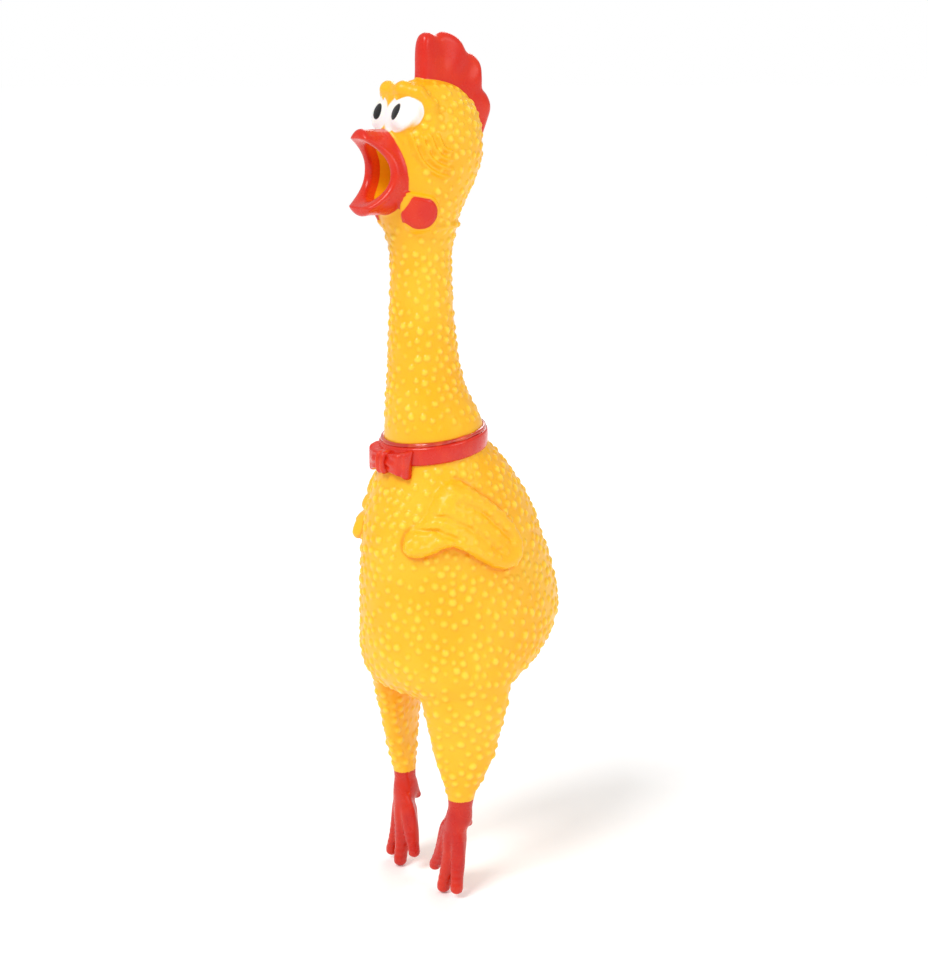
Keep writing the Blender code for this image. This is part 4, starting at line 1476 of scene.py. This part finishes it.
        high = skin.piece("neck_high_skin", middle, vinyl)
        self.high_bend.join(high, Slot.YELLOW, "neck_fold_high", "neck_middle")
        low = skin.piece("neck_low_skin", ~up & ~middle, vinyl)
        self.low_bend.join(low, Slot.YELLOW, "neck_base", "neck_fold_low")


# ---------------------------------------------------------------- collar, bow and glue
@dataclass
class Collar:
    """The red band round the mouth of the body."""

    radius: float = 19.4
    high: float = 170.4
    tall: float = 6.6
    thick: float = 2.4
    box: tuple[Point, Point] = ((-21.0, -21.0, 158.0), (21.0, 21.0, 176.0))
    step: float = 0.4

    def distance(self, x: Array, y: Array, z: Array) -> Array:
        """The band's field.

        Args:
            x: Across.
            y: Back.
            z: Up.

        Returns:
            Signed distances.
        """
        level = TILT.level(y, z)
        r = np.hypot(x, y)
        middle = self.high - self.tall / 2
        bow = 0.25 * (1.0 - ((level - middle) / (self.tall / 2)) ** 2)
        wall = blend_max(r - self.radius - bow, self.radius - self.thick - r, 0.4)
        return blend_max(wall, np.abs(level - middle) - self.tall / 2, 0.9)

    def build(self, trim: bpy.types.Material) -> None:
        """Makes the band.

        Args:
            trim: Its finish.
        """
        skin = Skin.of_field(self.distance, *self.box, self.step)
        skin.mark(relief=0.0)
        band = skin.piece("collar_band_skin", np.ones(len(skin.faces), bool), trim)
        ride(band, Body.TORSO, Slot.RED, "collar_band")


@dataclass
class Bow:
    """The moulded bow tie: two loops that droop to points, and a ridged knot between them."""

    radius: float = 19.5
    top: float = 170.4
    reach: float = 11.5
    root: float = 1.6
    sunk: float = 1.2
    knot_half: float = 2.35
    knot_low: float = 5.1
    knot_tall: float = 4.1
    knot_out: float = 4.1
    fold_height: float = 0.42
    fold_pitch: float = 3.0
    pinch_height: float = 0.40
    ridge_height: float = 0.38
    ridge_pitch: float = 2.5
    box: tuple[Point, Point] = ((-14.0, -27.0, 153.0), (14.0, -13.0, 172.0))
    step: float = 0.26

    def flat(self, x: Array, y: Array, z: Array) -> tuple[Array, Array, Array]:
        """Unrolls the collar's round."""
        turn = np.arctan2(x, -y)
        return turn * self.radius, TILT.level(y, z) - self.top, np.hypot(x, y) - self.radius

    def loops(self, x: Array, y: Array, z: Array) -> Array:
        """The field of both loops.

        Args:
            x: Across.
            y: Back.
            z: Up.

        Returns:
            Signed distances.
        """
        u, v, w = self.flat(x, y, z)
        side = np.abs(u)
        t = np.clip((side - self.root) / (self.reach - self.root), 0.0, 1.2)
        top = -1.9 + 1.5 * t**1.6
        low = -7.7 - 3.7 * t**1.5
        ratio = np.clip((v - low) / (top - low), 0.0, 1.0)
        slant = self.reach - 0.9 * np.cos(ratio * math.pi) * 0.4 - 0.5 * np.sin(ratio * math.pi)
        shape = blend_max(v - top, low - v, 1.3)
        shape = blend_max(shape, side - slant, 1.3)
        shape = blend_max(shape, 1.0 - side, 0.5)
        body = 1.9 + 1.7 * np.sin(math.pi * np.clip(0.12 + 0.80 * t, 0, 1))
        folds = self.fold_height * np.cos((side - 9.6) * math.tau / self.fold_pitch)
        folds = folds * smooth_step(side, 6.2, 8.4)
        pinch = self.pinch_height * np.cos((ratio - 0.5) * math.tau * 1.8) * smooth_step(side, 7.6, 3.4)
        belly = body + folds + pinch
        return blend_max(blend_max(shape, w - belly, 1.5), -self.sunk - w, 0.6)

    def knot(self, x: Array, y: Array, z: Array) -> Array:
        """The knot's field.

        Args:
            x: Across.
            y: Back.
            z: Up.

        Returns:
            Signed distances.
        """
        u, v, w = self.flat(x, y, z)
        rise = v + self.knot_low
        waist = self.knot_half - 0.35 * (1.0 - (rise / 4.0) ** 2)
        shape = blend_max(np.abs(u) - waist, np.abs(rise) - self.knot_tall, 1.5)
        ridges = self.ridge_height * np.cos(u * math.tau / self.ridge_pitch + math.pi)
        belly = self.knot_out + ridges - 0.06 * rise**2
        return blend_max(blend_max(shape, w - belly, 1.3), -self.sunk - w, 0.6)

    def build(self, trim: bpy.types.Material) -> None:
        """Makes the loops and the knot.

        Args:
            trim: Their finish.
        """
        loops = Skin.of_field(self.loops, *self.box, self.step)
        self._mark(loops)
        fx = loops.middles()[0]
        for side in Side:
            name = f"bow_loop_{side.word}"
            loop = loops.piece(f"{name}_skin", fx * side.value > 0, trim)
            ride(loop, Body.TORSO, Slot.RED, name)
        knot = Skin.of_field(self.knot, *self.box, self.step)
        self._mark(knot)
        tie = knot.piece("bow_knot_skin", np.ones(len(knot.faces), bool), trim)
        ride(tie, Body.TORSO, Slot.RED, "bow_knot")

    def _mark(self, skin: Skin) -> None:
        """Marks how far out each point stands, which the finish paints as a highlight."""
        out = self.flat(*skin.points.T)[2]
        skin.mark(relief=smooth_step(out, 2.6, 4.8))


@dataclass
class GlueBead:
    """The uneven bead of glue in the corner between the neck and the collar."""

    radius: float = 18.1
    height: float = 170.9
    thick: float = 0.8
    box: tuple[Point, Point] = ((-20.0, -20.0, 166.0), (20.0, 20.0, 176.0))
    step: float = 0.25

    def distance(self, x: Array, y: Array, z: Array) -> Array:
        """The bead's field.

        Args:
            x: Across.
            y: Back.
            z: Up.

        Returns:
            Signed distances.
        """
        level = TILT.level(y, z)
        lumps = 0.12 * ripple(x, y, z, 9.0, 3) + 0.03 * ripple(x, y, z, 3.0, 4)
        return np.hypot(np.hypot(x, y) - self.radius, level - self.height) - self.thick - lumps

    def build(self, glue: bpy.types.Material) -> None:
        """Makes the bead.

        Args:
            glue: Its finish.
        """
        skin = Skin.of_field(self.distance, *self.box, self.step)
        bead = skin.piece("glue_bead_skin", np.ones(len(skin.faces), bool), glue)
        ride(bead, Body.TORSO, Slot.GLUE, "glue_bead")


@dataclass
class Squawker:
    """The reed squawker inside the neck, which keeps its CAD solids and gets finer finishes."""

    nodes: tuple[str, ...] = ("squawker_housing", "squawker_shallot", "squawker_clamp")
    reed: str = "squawker_reed"
    plastic: MouldedPlastic = MouldedPlastic("squawker_moulding", (0.88, 0.87, 0.82))
    film: MouldedPlastic = MouldedPlastic("reed_sheet", (0.72, 0.78, 0.80), 0.22)

    def build(self) -> None:
        """Dresses the squawker's CAD solids."""
        plastic = self.plastic.material()
        film = self.film.material()
        for name in (*self.nodes, self.reed):
            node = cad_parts[name]
            node.data.materials.clear()
            node.data.materials.append(film if name == self.reed else plastic)


# ---------------------------------------------------------------- studio
@dataclass(frozen=True)
class Lamp:
    """A soft square light: where it stands as seen from the toy, its power in watts and its side."""

    name: str
    azimuth: float
    elevation: float
    away: float
    power: float
    size: float = 0.5


@dataclass
class Studio:
    """A pale floor, soft lights, an even surround and the camera."""

    azimuth: float = 54.0
    elevation: float = 12.5
    away: float = 0.66
    aim: Point = (0.0, 0.002, 0.151)
    tall: float = 0.350
    sensor: float = 36.0
    white: tuple[float, float, float, float] = (1.0, 1.0, 1.0, 1.0)
    floor_tint: Point = (0.97, 0.97, 0.97)
    floor_half: float = 60.0
    ambient: float = 0.56
    floor_glow: float = 0.08
    backdrop: float = 1.0
    key_from: Pair = (14.0, 48.0)
    key_width: float = 24.0
    key_power: float = 1.7
    lamps: tuple[Lamp, ...] = (
        Lamp("side_light", 105.0, 30.0, 1.2, 2.6), Lamp("back_light", 222.0, 35.0, 1.1, 2.8))

    def way(self, azimuth: float, elevation: float) -> Vector:
        """The direction from the toy towards a viewer."""
        a, e = math.radians(azimuth), math.radians(elevation)
        return Vector((math.sin(a) * math.cos(e), -math.cos(a) * math.cos(e), math.sin(e)))

    def _floor(self) -> None:
        """Makes the flat floor, which glows a little so that it is as white as the surround."""
        g = Graph(bpy.data.materials.new("floor_paper"))
        place = g.node("ShaderNodeTexCoord", output="Object")
        fibre = g.node("ShaderNodeTexNoise", {}, {"Vector": place, "Scale": 60.0})
        tint = tuple(v * 0.985 for v in self.floor_tint)
        colour = g.mix(fibre.step(0.3, 0.7), self.floor_tint, tint)
        g.feed(Base_Color=colour, Roughness=0.7, Specular_IOR_Level=0.0)
        g.feed(Emission_Color=self.white, Emission_Strength=self.floor_glow)
        mesh = bpy.data.meshes.new("floor")
        half = self.floor_half
        corners = [(-half, -half, 0), (half, -half, 0), (half, half, 0), (-half, half, 0)]
        mesh.from_pydata(corners, [], [(0, 1, 2, 3)])
        mesh.materials.append(g.owner)
        floor = bpy.data.objects.new("floor", mesh)
        bpy.context.scene.collection.objects.link(floor)
        floor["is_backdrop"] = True

    def _light(self, lamp: Lamp) -> None:
        """Adds one soft light aimed at the toy.

        Args:
            lamp: The light.
        """
        data = bpy.data.lights.new(lamp.name, "AREA")
        data.size = lamp.size
        data.energy = lamp.power
        light = bpy.data.objects.new(lamp.name, data)
        way = self.way(lamp.azimuth, lamp.elevation)
        light.location = Vector(self.aim) + way * lamp.away
        light.rotation_euler = way.to_track_quat("Z", "Y").to_euler()
        bpy.context.scene.collection.objects.link(light)
        light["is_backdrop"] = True

    def _sun(self) -> None:
        """Adds the wide key light, which falls evenly on the toy and on the floor."""
        data = bpy.data.lights.new("key_light", "SUN")
        data.angle = math.radians(self.key_width)
        data.energy = self.key_power
        key = bpy.data.objects.new("key_light", data)
        key.rotation_euler = self.way(*self.key_from).to_track_quat("Z", "Y").to_euler()
        bpy.context.scene.collection.objects.link(key)
        key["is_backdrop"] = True

    def _air(self) -> None:
        """Makes the surround, which is brighter to look at than the light that it gives."""
        g = Graph(bpy.data.worlds.new("studio_air"))
        seen = g.node("ShaderNodeLightPath", output="Is Camera Ray")
        g.feed(Color=self.white, Strength=seen.step(0.0, 1.0, self.ambient, self.backdrop))
        bpy.context.scene.world = g.owner

    def _camera(self) -> None:
        """Makes the camera, aimed at the toy's middle."""
        data = bpy.data.cameras.new("camera")
        data.sensor_width = self.sensor
        data.lens = self.sensor / (self.tall / self.away)
        camera = bpy.data.objects.new("camera", data)
        way = self.way(self.azimuth, self.elevation)
        camera.location = Vector(self.aim) + way * self.away
        camera.rotation_euler = way.to_track_quat("Z", "Y").to_euler()
        bpy.context.scene.collection.objects.link(camera)
        bpy.context.scene.camera = camera

    def build(self) -> None:
        """Makes the floor, the lights, the surround and the camera."""
        self._floor()
        self._sun()
        for lamp in self.lamps:
            self._light(lamp)
        self._air()
        bpy.context.scene.view_settings.view_transform = "Standard"
        self._camera()


def main() -> None:
    """Builds every sub-assembly in order, and writes how large the toy is before and after."""
    logging.basicConfig(level=logging.INFO, format="%(message)s")
    cad_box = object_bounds()
    vinyl = PaintedVinyl().material()
    trim = PaintedTrim().material()
    BodyMoulding().build(vinyl)
    HeadMoulding().build(vinyl)
    Foot().build(FootPaint().material())
    Collar().build(trim)
    Bow().build(trim)
    GlueBead().build(SetGlue().material())
    Squawker().build()
    Studio().build()
    sizes = {"cad": cad_box, "shown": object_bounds()}
    plain = {key: [[float(v) for v in corner] for corner in box] for key, box in sizes.items()}
    log.info("sizes: %s", plain)


if __name__ == "__main__":
    main()
